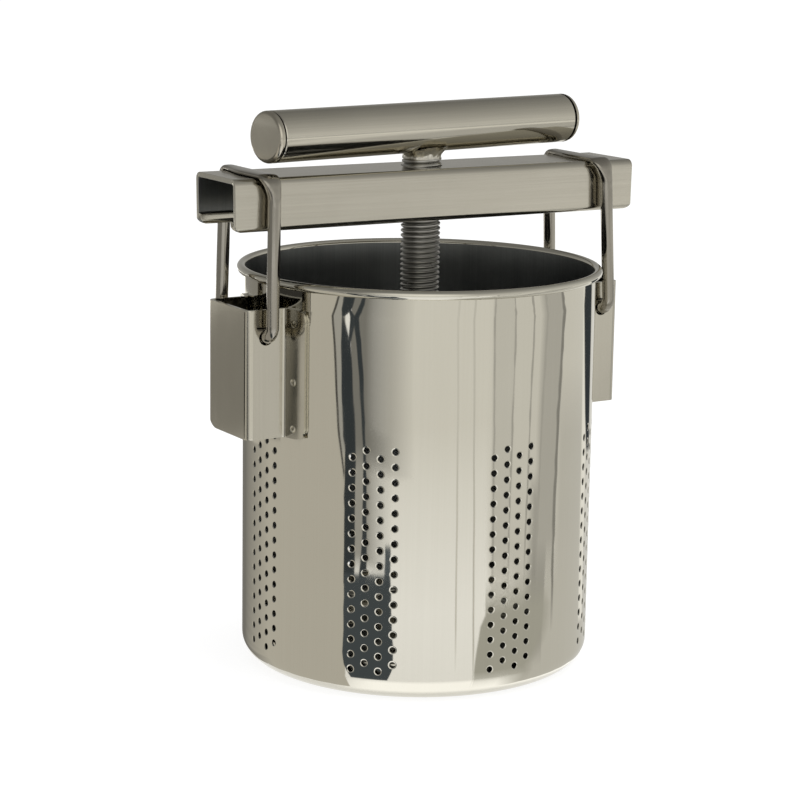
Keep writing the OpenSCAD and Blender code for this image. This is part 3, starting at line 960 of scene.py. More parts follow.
@dataclass
class Bail:
    """One bail: a bent rod, hammered flat where it crosses the beam."""

    side: Side
    rod_r: float = 2.5
    bend_r: float = 4.9
    crown_r: float = 3.8
    leg_y: float = 20.9
    end_y: float = 11.0
    splay: float = 0.05
    bar_half_w: float = 4.2
    bar_half_t: float = 0.85
    bar_shift: float = 1.6
    bar_taper: float = 1.5
    bar_power: Pair = (0.7, 6.0)
    taper_start: float = 0.15
    rest_gap: float = 0.12
    pivot: Pair = (78.7, 140.6)
    leans: Pair = (1.3, 2.7)
    front_fade: Pair = (17.5, 28.0)
    rear_fade: Pair = (16.5, 27.0)
    dent: float = 0.045
    dent_scale: Pair = (0.3, 1.4)
    struck_rise: float = 4.0
    struck_early: float = 2.0
    struck_fall: float = 9.0
    end_edge: float = 0.4
    points: int = 32
    bend_steps: int = 10
    fine_half: int = 32
    least_step: float = 0.05

    @property
    def lean(self) -> float:
        """Lean towards the bucket's axis, in degrees."""
        return self.leans[self.side is Side.RIGHT]

    @property
    def rise(self) -> float:
        """Height of the bar's middle above the pivot, in the plane of the bail."""
        bar_z = cad_box("beam")[1].z + self.rest_gap + self.bar_half_t
        return (bar_z - self.pivot[1]) / math.cos(math.radians(self.lean))

    def path(self) -> BentPath:
        """Lays out the rod's bends in the plane of the bail.

        Returns:
            The path across and up.
        """
        foot = self.leg_y - self.bend_r - self.end_y
        leg = self.rise - self.bend_r - self.crown_r
        path = BentPath(Vector((-self.end_y, 0.0)), math.pi)
        path.straight(foot).bend(-90.0, self.bend_r).straight(leg).bend(-90.0, self.crown_r)
        path.straight(2.0 * (self.leg_y - self.crown_r))
        path.bend(-90.0, self.crown_r).straight(leg).bend(-90.0, self.bend_r).straight(foot)
        return path

    def place(self, path: BentPath, run: float, turn: float) -> Vector:
        """Gives a point of the rod's surface.

        Args:
            path: The rod's line.
            run: Length along it.
            turn: Angle around the rod.

        Returns:
            The point.
        """
        rear = run - path.length / 2.0
        from_middle = abs(rear)
        start, end = self.rear_fade if rear > 0.0 else self.front_fade
        flat = 1.0 - smooth_step((from_middle - start) / (end - start))
        struck = smooth_step((from_middle - start) / self.struck_rise)
        struck *= 1.0 - smooth_step((from_middle - end + self.struck_early) / self.struck_fall)
        along, around = self.dent_scale
        lump = noise.noise(Vector((run * along, math.cos(turn) * around, math.sin(turn) * around)))
        dent = 1.0 + self.dent * struck * lump
        power = 2.0 / (2.0 + self.bar_power[math.sin(turn) < 0.0] * flat)
        taper = self.bar_taper * smooth_step(self.taper_start + rear / self.leg_y)
        half_w = (self.rod_r + (self.bar_half_w - taper - self.rod_r) * flat) * dent
        half_t = (self.rod_r + (self.bar_half_t - self.rod_r) * flat) * dent
        wide = math.copysign(abs(math.cos(turn)) ** power, math.cos(turn)) * half_w
        deep = math.copysign(abs(math.sin(turn)) ** power, math.sin(turn)) * half_t
        wide -= (self.bar_shift - taper) * flat * self.side.value
        spot, normal = path.at(run)
        spot = spot + normal * deep
        across = spot.x * (1.0 + self.splay * (0.5 - spot.y / self.rise))
        leaning = Matrix.Rotation(math.radians(-self.lean), 3, "Y") @ Vector((wide, across, spot.y))
        return Vector(((self.pivot[0] + leaning.x) * self.side.value, leaning.y, self.pivot[1] + leaning.z))

    def build(self) -> None:
        """Sweeps the rod along its bends and hands it over."""
        path = self.path()
        middle = path.length / 2.0
        runs = path.levels(self.bend_steps)
        runs += [middle + step for step in range(-self.fine_half, self.fine_half + 1)]
        bm = bmesh.new()
        turn = bm.verts.layers.float.new("turn")
        ring = bmesh.ops.create_circle(bm, segments=self.points, radius=self.rod_r)["verts"]
        edges = list({edge for vert in ring for edge in vert.link_edges})
        for vert in ring:
            vert[turn] = math.atan2(vert.co.y, vert.co.x)
        last = None
        for run in sorted(runs):
            if last is not None and run - last < self.least_step:
                continue
            if last is not None:
                ring, edges = extrude_edges(bm, edges)
            for vert in ring:
                vert.co = self.place(path, run, vert[turn])
            last = run
        rims = [edge for edge in bm.edges if edge.is_boundary]
        bmesh.ops.holes_fill(bm, edges=rims)
        bmesh.ops.recalc_face_normals(bm, faces=bm.faces)
        bmesh.ops.bevel(bm, geom=rims, offset=self.end_edge, segments=2, profile=0.5, affect="EDGES",
                        material=-1)
        side = self.side.name.lower()
        hand_over(bm, f"bail_{side}_rod", Role(f"{side}_bail", f"bail_{side}"), ROD, crease=55.0)


@dataclass
class PressScrew:
    """The long screw: a rolled thread above the hub, and a grooved stem inside it."""

    pitch: float = 2.0
    root_r: float = 6.85
    crest_r: float = 7.96
    crest_flat: float = 0.7
    crest_round: float = 0.16
    steps: int = 40
    runout: float = 1.5
    core_steps: int = 48
    stem_r: float = 7.9
    groove_r: float = 6.4
    groove_half: float = 1.65
    groove_z: float = 16.4
    chamfer: float = 1.0
    weld_cover: float = 1.8

    def build(self) -> None:
        """Winds the thread, turns the stem and hands the screw over."""
        low, high = cad_box("screw")
        start = cad_box("plate_hub")[1].z - self.pitch
        thread_top = high.z - self.weld_cover
        bm = bmesh.new()
        half = (self.pitch - self.crest_flat) / 2.0
        flank = self.crest_r - self.crest_round
        profile = [(self.root_r, 0.0), (flank, half - self.crest_round / 2),
                   (self.crest_r, half + self.crest_round)]
        profile += [(radius, self.pitch - height) for radius, height in reversed(profile)]
        points = [bm.verts.new((radius, 0.0, start + height)) for radius, height in profile]
        lines = [bm.edges.new(pair) for pair in zip(points, points[1:])]
        bmesh.ops.spin(bm, geom=points + lines, cent=(0, 0, 0), axis=(0, 0, 1), angle=math.tau,
                       steps=self.steps, dvec=(0.0, 0.0, self.pitch / self.steps))
        turns = math.ceil((thread_top - start) / self.pitch) + 1
        bmesh.ops.spin(bm, geom=bm.verts[:] + bm.edges[:] + bm.faces[:], cent=(0, 0, 0), axis=(0, 0, 1),
                       angle=0.0, steps=turns, dvec=(0.0, 0.0, self.pitch), use_duplicate=True)
        bmesh.ops.remove_doubles(bm, verts=bm.verts, dist=MERGE)
        thread_foot = start + self.runout * self.pitch
        for height, up in ((thread_foot, -1.0), (thread_top, 1.0)):
            bmesh.ops.bisect_plane(bm, geom=bm.verts[:] + bm.edges[:] + bm.faces[:], plane_co=(0, 0, height),
                                   plane_no=(0, 0, up), clear_outer=True)
        bmesh.ops.holes_fill(bm, edges=[edge for edge in bm.edges if edge.is_boundary])
        bmesh.ops.recalc_face_normals(bm, faces=bm.faces)
        core = [(0.0, thread_top), (self.groove_r, thread_top), (self.groove_r, high.z), (0.0, high.z)]
        turn_profile(bm, core, self.core_steps)
        turn_profile(bm, self.stem(low.z, start + self.pitch, thread_foot + self.chamfer), self.core_steps)
        hand_over(bm, "press_thread", Role("screw", "screw"), THREAD, crease=30.0)

    def stem(self, foot: float, shoulder: float, top: float) -> list[Pair]:
        """Gives the profile of the plain stem with the groove for the pins.

        Args:
            foot: Height of the screw's lower end.
            shoulder: Height at which the stem steps in to the thread.
            top: Height of the stem's upper end inside the thread.

        Returns:
            Radii and heights from the foot up.
        """
        groove_low, groove_high = self.groove_z - self.groove_half, self.groove_z + self.groove_half
        return [(0.0, foot), (self.stem_r - self.chamfer, foot), (self.stem_r, foot + self.chamfer),
                (self.stem_r, groove_low), (self.groove_r, groove_low), (self.groove_r, groove_high),
                (self.stem_r, groove_high), (self.stem_r, shoulder), (self.groove_r, shoulder),
                (self.groove_r, top), (0.0, top)]


@dataclass(frozen=True)
class WeldForm:
    """Form of the weld's flank, in millimetres where it isn't a share.

    Attributes:
        side: Direction of the fuller side.
        lean: How strongly the build-up goes to that side.
        broad: Broad lumps around and up the flank.
        small: Small lumps around and up the flank.
        small_share: Size of the small lumps beside the broad ones.
        shift: Place of the small lumps in the noise.
        flare: Least flare at the tube, and what the fuller side adds.
        flare_power: How late the flare starts.
        waist: Depth of the hollow flank.
        lumps: Least size of the lumps, and what the fuller side adds.
        sink: How far the top goes into the tube.
        climb: Least climb on the tube, what the fuller side adds and what the lumps add.
        sway: How far the lumps move the rows up and down.
    """

    side: Vector = field(default_factory=lambda: Vector((0.72, -0.69, 0.0)))
    lean: float = 0.62
    broad: Pair = (4.2, 1.7)
    small: Pair = (9.0, 3.2)
    small_share: float = 0.6
    shift: Pair = (4.0, 1.0)
    flare: Pair = (0.9, 1.7)
    flare_power: float = 2.1
    waist: float = 0.25
    lumps: Pair = (0.15, 0.75)
    sink: float = 0.2
    climb: tuple[float, float, float] = (0.9, 1.9, 0.6)
    sway: float = 0.25


@dataclass
class THandle:
    """The T-handle: a satin tube with two domed end caps, and the weld that joins it to the screw."""

    tube_r: float = 10.0
    wall: float = 1.5
    length: float = 159.0
    turn: float = HANDLE_TURN
    cap_show: float = 3.4
    groove: float = 0.9
    cap_edge_r: float = 1.6
    dome: float = 0.35
    plug: float = 8.0
    plug_gap: float = 0.06
    steps: int = 96
    neck_r: float = 7.8
    weld_rise: float = 2.3
    weld_rows: int = 18
    weld_steps: int = 160
    weld_lap: float = 1.0
    weld_foot: tuple[Pair, ...] = ((7.8, 1.6), (1.2, 1.0), (0.5, 0.0))
    weld_head: tuple[Pair, ...] = ((2.5, 1.0), (7.8, 0.2))
    weld_skin: float = 0.1
    weld_sink: float = 0.3
    weld: WeldForm = field(default_factory=WeldForm)
    tube_edge: float = 0.2
    tube_rings: tuple[float, ...] = (-0.5, 0.0, 0.5)
    face_rings: tuple[float, ...] = (0.0, 0.35, 0.7)
    cap_steps: int = 8
    axis_z: float = field(init=False)

    def __post_init__(self) -> None:
        """Takes the height of the handle from its solid."""
        low, high = cad_box("handle_tube")
        self.axis_z = (low.z + high.z) / 2.0

    def lay_down(self, bm: BMesh, side: Side = Side.RIGHT) -> None:
        """Turns a form that stands on Z into the handle's line."""
        end = 0.0 if side is Side.RIGHT else 180.0
        level = Matrix.Rotation(math.pi / 2.0, 4, "Y")
        turned = Matrix.Rotation(math.radians(self.turn + end), 4, "Z") @ level
        bmesh.ops.transform(bm, matrix=Matrix.Translation((0.0, 0.0, self.axis_z)) @ turned, verts=bm.verts)

    def build_tube(self) -> None:
        """Turns the tube and hands it over."""
        bm = bmesh.new()
        end = self.length / 2.0 - self.cap_show
        inner = self.tube_r - self.wall
        edge = self.wall * self.tube_edge
        outside = [(self.tube_r - edge, -end), (self.tube_r, edge - end)]
        outside += [(self.tube_r, end * share) for share in self.tube_rings]
        outside += [(self.tube_r, end - edge), (self.tube_r - edge, end)]
        turn_profile(bm, outside + [(inner, end), (inner, -end)], self.steps, closed=True)
        self.lay_down(bm)
        hand_over(bm, "handle_grip", Role("screw", "handle_tube"), TUBE)

    def build_cap(self, side: Side) -> None:
        """Turns one end cap with its plug, paints shade into its groove and hands it over."""
        bm = bmesh.new()
        end = self.length / 2.0
        tube_end = end - self.cap_show
        plug_r = self.tube_r - self.wall - self.plug_gap
        face_r = self.tube_r - self.cap_edge_r
        face = [(face_r * share, end - self.dome * share ** 2) for share in self.face_rings]
        edge = arc((face_r, end - self.dome - self.cap_edge_r), self.cap_edge_r, 90.0, 0.0, self.cap_steps)
        back = [(self.tube_r, tube_end + self.groove), (plug_r, tube_end + self.groove),
                (plug_r, tube_end - self.plug), (0.0, tube_end - self.plug)]
        turn_profile(bm, face + edge + back, self.steps)
        # The step and plug inside the groove take the near-black painted shade.
        for face in bm.faces:
            face.material_index = int(face.calc_center_median().z < tube_end + self.groove + MERGE)
        self.lay_down(bm, side)
        name = side.name.lower()
        cap = hand_over(bm, f"handle_{name}_end", Role("screw", "handle_cap_" + name), CAP)
        cap.data.materials.append(GROOVE.material())

    def tube_under(self, point: Vector) -> float:
        """Gives the height of the tube's underside above or below a point."""
        axis = math.radians(self.turn)
        aside = point.y * math.cos(axis) - point.x * math.sin(axis)
        return self.axis_z - math.sqrt(max(self.tube_r ** 2 - aside ** 2, 0.0))

    def build_weld(self) -> None:
        """Models the hollow-sided weld that climbs the tube, and hands it over."""
        bm = bmesh.new()
        under = self.axis_z - self.tube_r
        low, top = under - self.weld_rise, under + self.weld_lap
        profile = [(self.neck_r - inset, low + rise) for inset, rise in self.weld_foot]
        rows = range(self.weld_rows + 1)
        profile += [(self.neck_r, low + (top - low) * row / self.weld_rows) for row in rows]
        profile += [(self.neck_r - inset, under + rise) for inset, rise in self.weld_head]
        turn_profile(bm, profile, self.weld_steps)
        for vert in bm.verts:
            out = Vector((vert.co.x, vert.co.y, 0.0))
            if out.length > self.neck_r - self.weld_skin:
                vert.co = self.weld_point(out.normalized(), (vert.co.z - low) / (top - low))
            vert.co.z = min(vert.co.z, self.tube_under(vert.co) + self.weld_sink)
        bmesh.ops.recalc_face_normals(bm, faces=bm.faces)
        hand_over(bm, "handle_weld_bead", Role("screw", "handle_weld"), WELD, crease=24.0)

    def weld_point(self, out: Vector, climb: float) -> Vector:
        """Gives a point of the weld's flank.

        Args:
            out: Direction from the screw's axis.
            climb: Share of the way up to the tube.

        Returns:
            The point.
        """
        form = self.weld
        full = smooth_step(0.5 + form.lean * out.dot(form.side))
        lump = noise.noise(out * form.broad[0] + Vector((0.0, 0.0, climb * form.broad[1])))
        small = noise.noise(out * form.small[0] + Vector((*form.shift, climb * form.small[1])))
        lump += form.small_share * small
        radius = self.neck_r - form.waist * math.sin(math.pi * climb)
        radius += (form.flare[0] + form.flare[1] * full) * climb ** form.flare_power
        radius += lump * (form.lumps[0] + form.lumps[1] * full * climb)
        under = self.axis_z - self.tube_r
        low = under - self.weld_rise
        most = under + form.climb[0] + form.climb[1] * full + form.climb[2] * lump
        top = min(self.tube_under(out * radius) + form.sink, most)
        height = low + (top - low) * climb + form.sway * lump * climb * (1.0 - climb)
        return Vector((out.x * radius, out.y * radius, height))

    def build(self) -> None:
        """Builds the tube, both caps and the weld."""
        self.build_tube()
        for side in Side:
            self.build_cap(side)
        self.build_weld()


@dataclass
class PressPlate:
    """The drawn plate that is pushed down the bucket, and the bead that holds its hub."""

    sheet: float = 2.0
    corner_r: float = 8.5
    steps: int = 160
    corner_steps: int = 12
    lip_steps: int = 8
    floor_rings: tuple[float, ...] = (0.0, 0.35, 0.7)
    bead_r: float = 3.0
    bead_steps: int = 96
    bead_border: float = 0.2
    ripples: float = 40.0
    ripple: float = 0.12
    lumps: float = 0.6

    def build(self) -> None:
        """Turns the plate and the bead and hands them over."""
        low, high = cad_box("press_plate")
        radius = high.x
        centre = (radius - self.corner_r, low.z + self.corner_r)
        half = self.sheet / 2.0
        lip = arc((radius - half, high.z - half), half, 0.0, 180.0, self.lip_steps)
        floor = [centre[0] * share for share in self.floor_rings]
        outside = [(place, low.z) for place in floor]
        outside += arc(centre, self.corner_r, -90.0, 0.0, self.corner_steps)
        inside = arc(centre, self.corner_r - self.sheet, 0.0, -90.0, self.corner_steps)
        inside += [(place, low.z + self.sheet) for place in reversed(floor)]
        bm = bmesh.new()
        turn_profile(bm, outside + lip + inside, self.steps)
        hand_over(bm, "plate_dish", Role("plate", "press_plate"), POLISHED)

        foot = cad_box("hub_weld")[0].z
        hub_r = cad_box("plate_hub")[1].x
        bead = arc((hub_r, foot), self.bead_r, 0.0, 90.0, self.lip_steps)
        bm = bmesh.new()
        turn_profile(bm, [(hub_r, foot)] + bead, self.bead_steps, closed=True)
        for vert in bm.verts:
            out = Vector((vert.co.x, vert.co.y, 0.0))
            if out.length > hub_r + self.bead_border and vert.co.z > foot + self.bead_border:
                wave = math.sin(self.ripples * math.atan2(out.y, out.x)) + noise.noise(vert.co * self.lumps)
                vert.co -= out.normalized() * self.ripple * (1.0 + wave)
        hand_over(bm, "hub_bead", Role("plate", "hub_weld"), WELD)


KEPT_SOLIDS = {
    "beam_nut": DARK, "nut_welds": WELD, "plate_hub": HUB, "retaining_pins": DARK, "thrust_washer": DARK}
KEPT_CREASE = math.radians(30.0)


def dress_solids() -> None:
    """Gives each solid that stays in view its finish."""
    for node, finish in KEPT_SOLIDS.items():
        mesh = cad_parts[node].data
        mesh.materials.clear()
        mesh.materials.append(finish.material())
        mesh.shade_smooth()
        mesh.set_sharp_from_angle(angle=KEPT_CREASE)
        LOG.info("%s: solid with %s", node, finish.name)


WARM: Rgb = (1.0, 0.985, 0.935)
TAN: Rgb = (1.0, 0.96, 0.87)
COLD: Rgb = (0.8, 0.95, 1.08)
PALE: Rgb = (1.0, 0.99, 0.9)
COVER = "cover"
WAVE_STEPS = (0.16, 7.3, 4.1)
STREAK_SOFT = (0.004, 0.004)
LINE_LEVELS = (104.0, 160.0)
LINE_WIDTH = 0.006
LINE_SOFT = (0.003, 0.003)
LINE_FADE = 20.0
LINE_WAVE = 0.006


@dataclass(frozen=True)
class FloorCard:
    """A card on the floor that only the steel mirrors.

    Its place is given by its image on the bucket's wall. Above the rim the image only lies further out.

    Attributes:
        rows: From the image's lower end up, a height in millimetres, and the left and right edge there as
            shares of the bucket's radius in view.
        tone: Brightness of the card.
        soft: Widths of its soft left and right side, as shares of the radius.
        fade: Height of its soft ends in the image.
        wave: Size of the waves in its edges, as a share of the radius.
        cast: Colour of the card.
    """

    rows: tuple[Triple, ...]
    tone: float
    soft: Pair = (0.006, 0.006)
    fade: float = 3.0
    wave: float = 0.0
    cast: Rgb = WARM

    def edges(self, height: float, number: int) -> tuple[float, float]:
        """Gives the left and right edge at a height.

        Args:
            height: Height in the image.
            number: The card's number, which sets its waves.

        Returns:
            The two edges as shares of the radius.
        """
        held = min(self.rows[-1][0], max(self.rows[0][0], height))
        pairs = zip(self.rows, self.rows[1:])
        below, above = next((pair for pair in pairs if held <= pair[1][0]), self.rows[-2:])
        climb = (held - below[0]) / (above[0] - below[0])
        along, apart, across = WAVE_STEPS
        edges = []
        for side in (1, 2):
            wave = noise.noise(Vector((height * along, number * apart, side * across)))
            edges.append(below[side] + (above[side] - below[side]) * climb + self.wave * wave)
        return edges[0], edges[1]


def wall_line(low: float, places: Triple, tone: float, wave: float = LINE_WAVE) -> FloorCard:
    """Gives the card of a thin upright line in the wall.

    Args:
        low: Height of its lower end.
        places: Its left edge at the lower end, at the top row of holes and under the rim.
        tone: Brightness of the line.
        wave: Size of the waves in it.

    Returns:
        The card.
    """
    rows = tuple((height, place, place + LINE_WIDTH) for height, place in zip((low, *LINE_LEVELS), places))
    return FloorCard(rows, tone, LINE_SOFT, LINE_FADE, wave)


FAR = 1300.0
FAR_FLOOR = (
    FloorCard(((172.0, -1.0, -0.3), (FAR, -1.0, -0.3)), 0.36, (0.0, 0.1), 6.0),
    FloorCard(((310.0, -0.3, 1.0), (FAR, -0.3, 1.0)), 0.6, (0.0, 0.0), 25.0),
    FloorCard(((166.0, 0.47, 1.0), (290.0, 0.47, 1.0)), 0.92, (0.1, 0.0), 20.0),
    FloorCard(((166.0, 0.2, 0.48), (290.0, 0.2, 0.48)), 0.7, (0.05, 0.1), 20.0),
)
LEFT_WALL = (
    FloorCard(((0.0, -1.0, -0.38), (99.0, -1.0, -0.385), (123.0, -1.0, -0.41), (172.0, -1.0, -0.4)),
              0.6, (0.0, 0.008), cast=TAN),
    FloorCard(((98.0, -0.415, -0.385), (123.0, -0.44, -0.405), (158.0, -0.465, -0.4)), 0.46),
    FloorCard(((0.0, -1.0, -0.97), (97.0, -1.0, -0.97)), 0.2, (0.0, 0.15), cast=TAN),
)
LEFT_BRACKET = (
    FloorCard(((100.0, -1.0, -0.76), (151.0, -1.0, -0.76)), 0.285, (0.0, 0.01), cast=TAN),
    FloorCard(((102.0, -0.78, -0.638), (156.0, -0.78, -0.638)), 0.04, (0.006, 0.008), 1.0, cast=TAN),
    FloorCard(((151.5, -0.61, -0.585), (160.0, -0.615, -0.58)), 0.06),
    FloorCard(((151.0, -1.0, -0.87), (163.0, -1.0, -0.87)), 2.0, (0.0, 0.01), 1.5),
)
RIGHT_WALL = (
    FloorCard(((110.0, -0.15, 0.42), (172.0, -0.15, 0.42)), 0.86, (0.1, 0.12), 75.0),
    FloorCard(((60.0, 0.42, 1.0), (172.0, 0.42, 1.0)), 0.79, (0.05, 0.0), 35.0),
    FloorCard(((0.0, 0.8, 0.92), (100.0, 0.79, 0.91)), 0.66, (0.03, 0.02), 30.0),
    FloorCard(((0.0, 0.62, 1.0), (40.0, 0.62, 1.0)), 0.68, (0.15, 0.0), 30.0),
    FloorCard(((60.0, 0.41, 0.505), (165.0, 0.39, 0.515)), 0.72, fade=25.0),
    FloorCard(((22.0, 0.63, 0.7), (54.0, 0.65, 0.715), (75.0, 0.655, 0.71)), 0.44, (0.05, 0.008), 14.0),
    FloorCard(((60.0, 0.67, 0.755), (104.0, 0.67, 0.765), (165.0, 0.69, 0.79)), 0.56, (0.03, 0.006), 20.0),
)
WALL_LINES = (
    wall_line(30.0, (0.22, 0.21, 0.195), 0.74, 0.0),
    wall_line(20.0, (0.318, 0.298, 0.282), 0.68, 0.0),
    wall_line(60.0, (0.412, 0.406, 0.392), 0.5, 0.004),
    wall_line(60.0, (0.5, 0.505, 0.513), 0.48),
    wall_line(60.0, (0.592, 0.602, 0.618), 0.48),
    wall_line(60.0, (0.66, 0.668, 0.696), 0.5),
)
RIGHT_EDGE = (
    FloorCard(((40.0, 0.755, 0.765), (104.0, 0.76, 0.77), (160.0, 0.79, 0.8)), 0.3, (0.006, 0.004), 20.0,
              LINE_WAVE),
    FloorCard(((20.0, 0.935, 0.955), (104.0, 0.92, 0.94), (165.0, 0.9, 0.915)), 1.0),
    FloorCard(((90.0, 0.955, 0.97), (104.0, 0.94, 0.965), (150.0, 0.91, 0.955), (166.0, 0.9, 0.95)), 0.05,
              cast=COLD),
    FloorCard(((9.0, 0.33, 0.6), (15.0, 0.335, 0.66), (25.0, 0.355, 0.7), (32.0, 0.39, 0.7)), 0.5,
              (0.01, 0.06), 14.0, 0.01, PALE),
)
DARK_STREAKS = (
    FloorCard(((56.0, -0.335, -0.27), (103.0, -0.345, -0.27)), 0.42, (0.0, 0.14), 8.0),
    FloorCard(((100.0, -0.34, -0.275), (122.0, -0.36, -0.285), (158.0, -0.375, -0.29)), 0.25,
              (0.0, 0.26), 12.0),
    FloorCard(((44.0, -0.39, -0.335), (99.0, -0.39, -0.335), (102.0, -0.4, -0.335), (137.0, -0.42, -0.37),
               (151.0, -0.415, -0.41)), 0.055, STREAK_SOFT, 1.0, 0.005, COLD),
    FloorCard(((154.0, -0.365, -0.34), (158.0, -0.395, -0.375)), 0.07, STREAK_SOFT, 2.0),
    FloorCard(((154.0, -0.355, -0.33), (158.0, -0.33, -0.315)), 0.07, STREAK_SOFT, 2.0),
    FloorCard(((137.0, -0.38, -0.37), (149.0, -0.37, -0.345), (154.0, -0.365, -0.345)), 0.065,
              STREAK_SOFT, 0.5, cast=COLD),
    FloorCard(((45.0, -0.31, -0.27), (62.0, -0.29, -0.27), (98.0, -0.29, -0.28), (126.0, -0.32, -0.3),
               (149.0, -0.35, -0.325), (154.0, -0.35, -0.33)), 0.06, STREAK_SOFT, 1.0, 0.004, COLD),
    FloorCard(((87.0, -0.4, -0.394), (103.0, -0.43, -0.422), (152.0, -0.473, -0.465),
               (158.0, -0.474, -0.466)), 0.08, LINE_SOFT),
    FloorCard(((46.0, -0.17, -0.14), (59.0, -0.165, -0.14)), 0.13, STREAK_SOFT, 2.0, 0.006, COLD),
    FloorCard(((5.5, -0.345, -0.145), (7.5, -0.385, -0.13), (13.0, -0.39, -0.115), (22.0, -0.39, -0.125),
               (47.0, -0.385, -0.14)), 0.09, STREAK_SOFT, 1.2, 0.01, COLD),
)


@dataclass
class Studio:
    """The white floor, the soft light, the cards and the camera."""

    eye: Triple = (-516.9, -836.1, 309.1)
    aim: Triple = (0.0, 13.7, 103.0)
    roll: float = 0.91
    lens: float = 110.91
    sensor: float = 36.0
    farthest: float = 50.0
    floor_half: float = 8.0
    floor_tone: float = 0.32
    floor_glow: float = 0.8
    behind_tone: float = 0.28
    behind_half: float = 4.0
    behind_reach: Triple = (0.1, 0.3, 7.0)
    behind_lift: float = 0.00005
    ring_r: tuple[float, ...] = (68.5, 71.0, 82.0, 96.0)
    ring_tone: float = 1.45
    ring_lift: float = 0.1
    ring_steps: int = 96
    ring_slack: float = 1.0
    ring_side: Pair = (-0.5, 0.25)
    ring_front: float = 20.0
    wall_r: float = 71.0
    rim_z: float = 162.0
    room_back: Pair = (0.38, 0.2)
    room_back_level: Pair = (0.0, 0.5)
    room_front: Pair = (0.68, 0.34)
    room_front_level: Pair = (0.1, 0.8)
    room_turn: Pair = (-0.2, 0.6)
    bright_way: Pair = (0.85, 0.55)
    room_flash: float = 0.5
    flash_rise: float = 0.22
    flash_cone: Pair = (0.82, 0.98)
    plain_light: float = 0.8
    lamp_size: float = 1.6
    lamp_watts: float = 12.0
    lamp_place: Triple = (0.5, -0.5, 2.0)
    lamp_tilt: float = 0.25
    card_step: float = 5.0
    card_rows: int = 40
    card_columns: tuple[float, ...] = (-0.5, 0.0, 0.2, 0.4, 0.6, 0.8, 1.0, 1.5)
    card_lift: float = 0.0001
    edge_on: float = 0.999
    cards: tuple[FloorCard, ...] = (
        *FAR_FLOOR, *LEFT_WALL, *LEFT_BRACKET, *RIGHT_WALL, *WALL_LINES, *RIGHT_EDGE, *DARK_STREAKS)

    @property
    def axes(self) -> tuple[Vector, Vector, Vector]:
        """The camera's right, up and back."""
        back = (Vector(self.eye) - Vector(self.aim)).normalized()
        level = Vector((0.0, 0.0, 1.0)).cross(back).normalized()
        right = Matrix.Rotation(math.radians(self.roll), 3, back) @ level
        return right, back.cross(right), back

    @property
    def facing(self) -> tuple[Vector, Vector]:
        """The level directions towards the camera and to its right."""
        back = self.axes[2]
        toward = Vector((back.x, back.y, 0.0)).normalized()
        return toward, Vector((-toward.y, toward.x, 0.0))

    def mirrored(self, share: float, height: float) -> Vector:
        """Follows a camera ray off the bucket's wall to the floor.

        Args:
            share: Place across the bucket in view, from -1 to 1.
            height: Height on the wall.

        Returns:
            The point on the floor in metres.
        """
        toward, aside = self.facing
        normal = aside * share + toward * math.sqrt(max(0.0, 1.0 - share * share))
        spot = normal * self.wall_r
        ray = (spot + Vector((0.0, 0.0, min(height, self.rim_z))) - Vector(self.eye)).normalized()
        ray -= 2.0 * ray.dot(normal) * normal
        spot += ray * (height / -ray.z)
        return Vector((spot.x, spot.y, 0.0)) * MM

    def glow(self, name: str, tone: Rgb) -> bpy.types.Material:
        """Makes the material of a card, which fades out towards its soft border.

        Args:
            name: Name of the material.
            tone: Colour of the card.

        Returns:
            The material.
        """
        made = bpy.data.materials.new(name)
        made.use_nodes = True
        bench = NodeBench(made.node_tree)
        light = bench.add("ShaderNodeEmission", {"Color": (*tone, 1.0), "Strength": 1.0})
        cover = bench.add("ShaderNodeAttribute", attribute_name=COVER).outputs["Fac"]
        clear = bench.add("ShaderNodeBsdfTransparent")
        both = bench.add("ShaderNodeMixShader", {0: cover, 1: clear.outputs[0], 2: light.outputs[0]})
        made.node_tree.links.new(both.outputs[0], bench.add("ShaderNodeOutputMaterial").inputs[0])
        return made

    def stand_in(self, name: str, bm: BMesh, material: bpy.types.Material, mirrored_only: bool) -> None:
        """Puts a stage piece into the scene.

        Args:
            name: Its name.
            bm: Its mesh, which is freed.
            material: Its material.
            mirrored_only: Shows it only in reflections.
        """
        mesh = bpy.data.meshes.new(name)
        bm.to_mesh(mesh)
        bm.free()
        mesh.materials.append(material)
        piece = bpy.data.objects.new(name, mesh)
        bpy.context.scene.collection.objects.link(piece)
        for kind in ("camera", "diffuse", "shadow", "transmission", "volume_scatter"):
            setattr(piece, "visible_" + kind, not mirrored_only)

    def lay_cards(self) -> None:
        """Lays the cards on the floor, each a little above the one before."""
        for number, card in enumerate(self.cards):
            low, high = card.rows[0][0], card.rows[-1][0]
            count = min(self.card_rows, math.ceil((high - low) / self.card_step))
            up = {low + (high - low) * step / count for step in range(count + 1)} | {high + card.fade}
            if low:
                up.add(max(0.0, low - card.fade))
            blank = SheetBlank(self.card_columns, sorted(up))
            cover = blank.bm.verts.layers.float.new(COVER)
            for vert in blank.bm.verts:
                part, height = vert.co.x, vert.co.y
                inside = min(1.0, max(0.0, part))
                left, right = card.edges(height, number)
                vert[cover] = float(part == inside and low - MERGE < height < high + MERGE)
                share = left + (right - left) * inside + 2.0 * card.soft[part > 0.5] * (part - inside)
                vert.co = self.mirrored(min(self.edge_on, max(-self.edge_on, share)), height)
            lift = self.card_lift * (number + 1)
            bmesh.ops.translate(blank.bm, vec=(0.0, 0.0, lift), verts=blank.bm.verts)
            tone = tuple(card.tone * share for share in card.cast)
            self.stand_in(f"floor_card_{number}", blank.bm, self.glow(f"card_tone_{number}", tone), True)

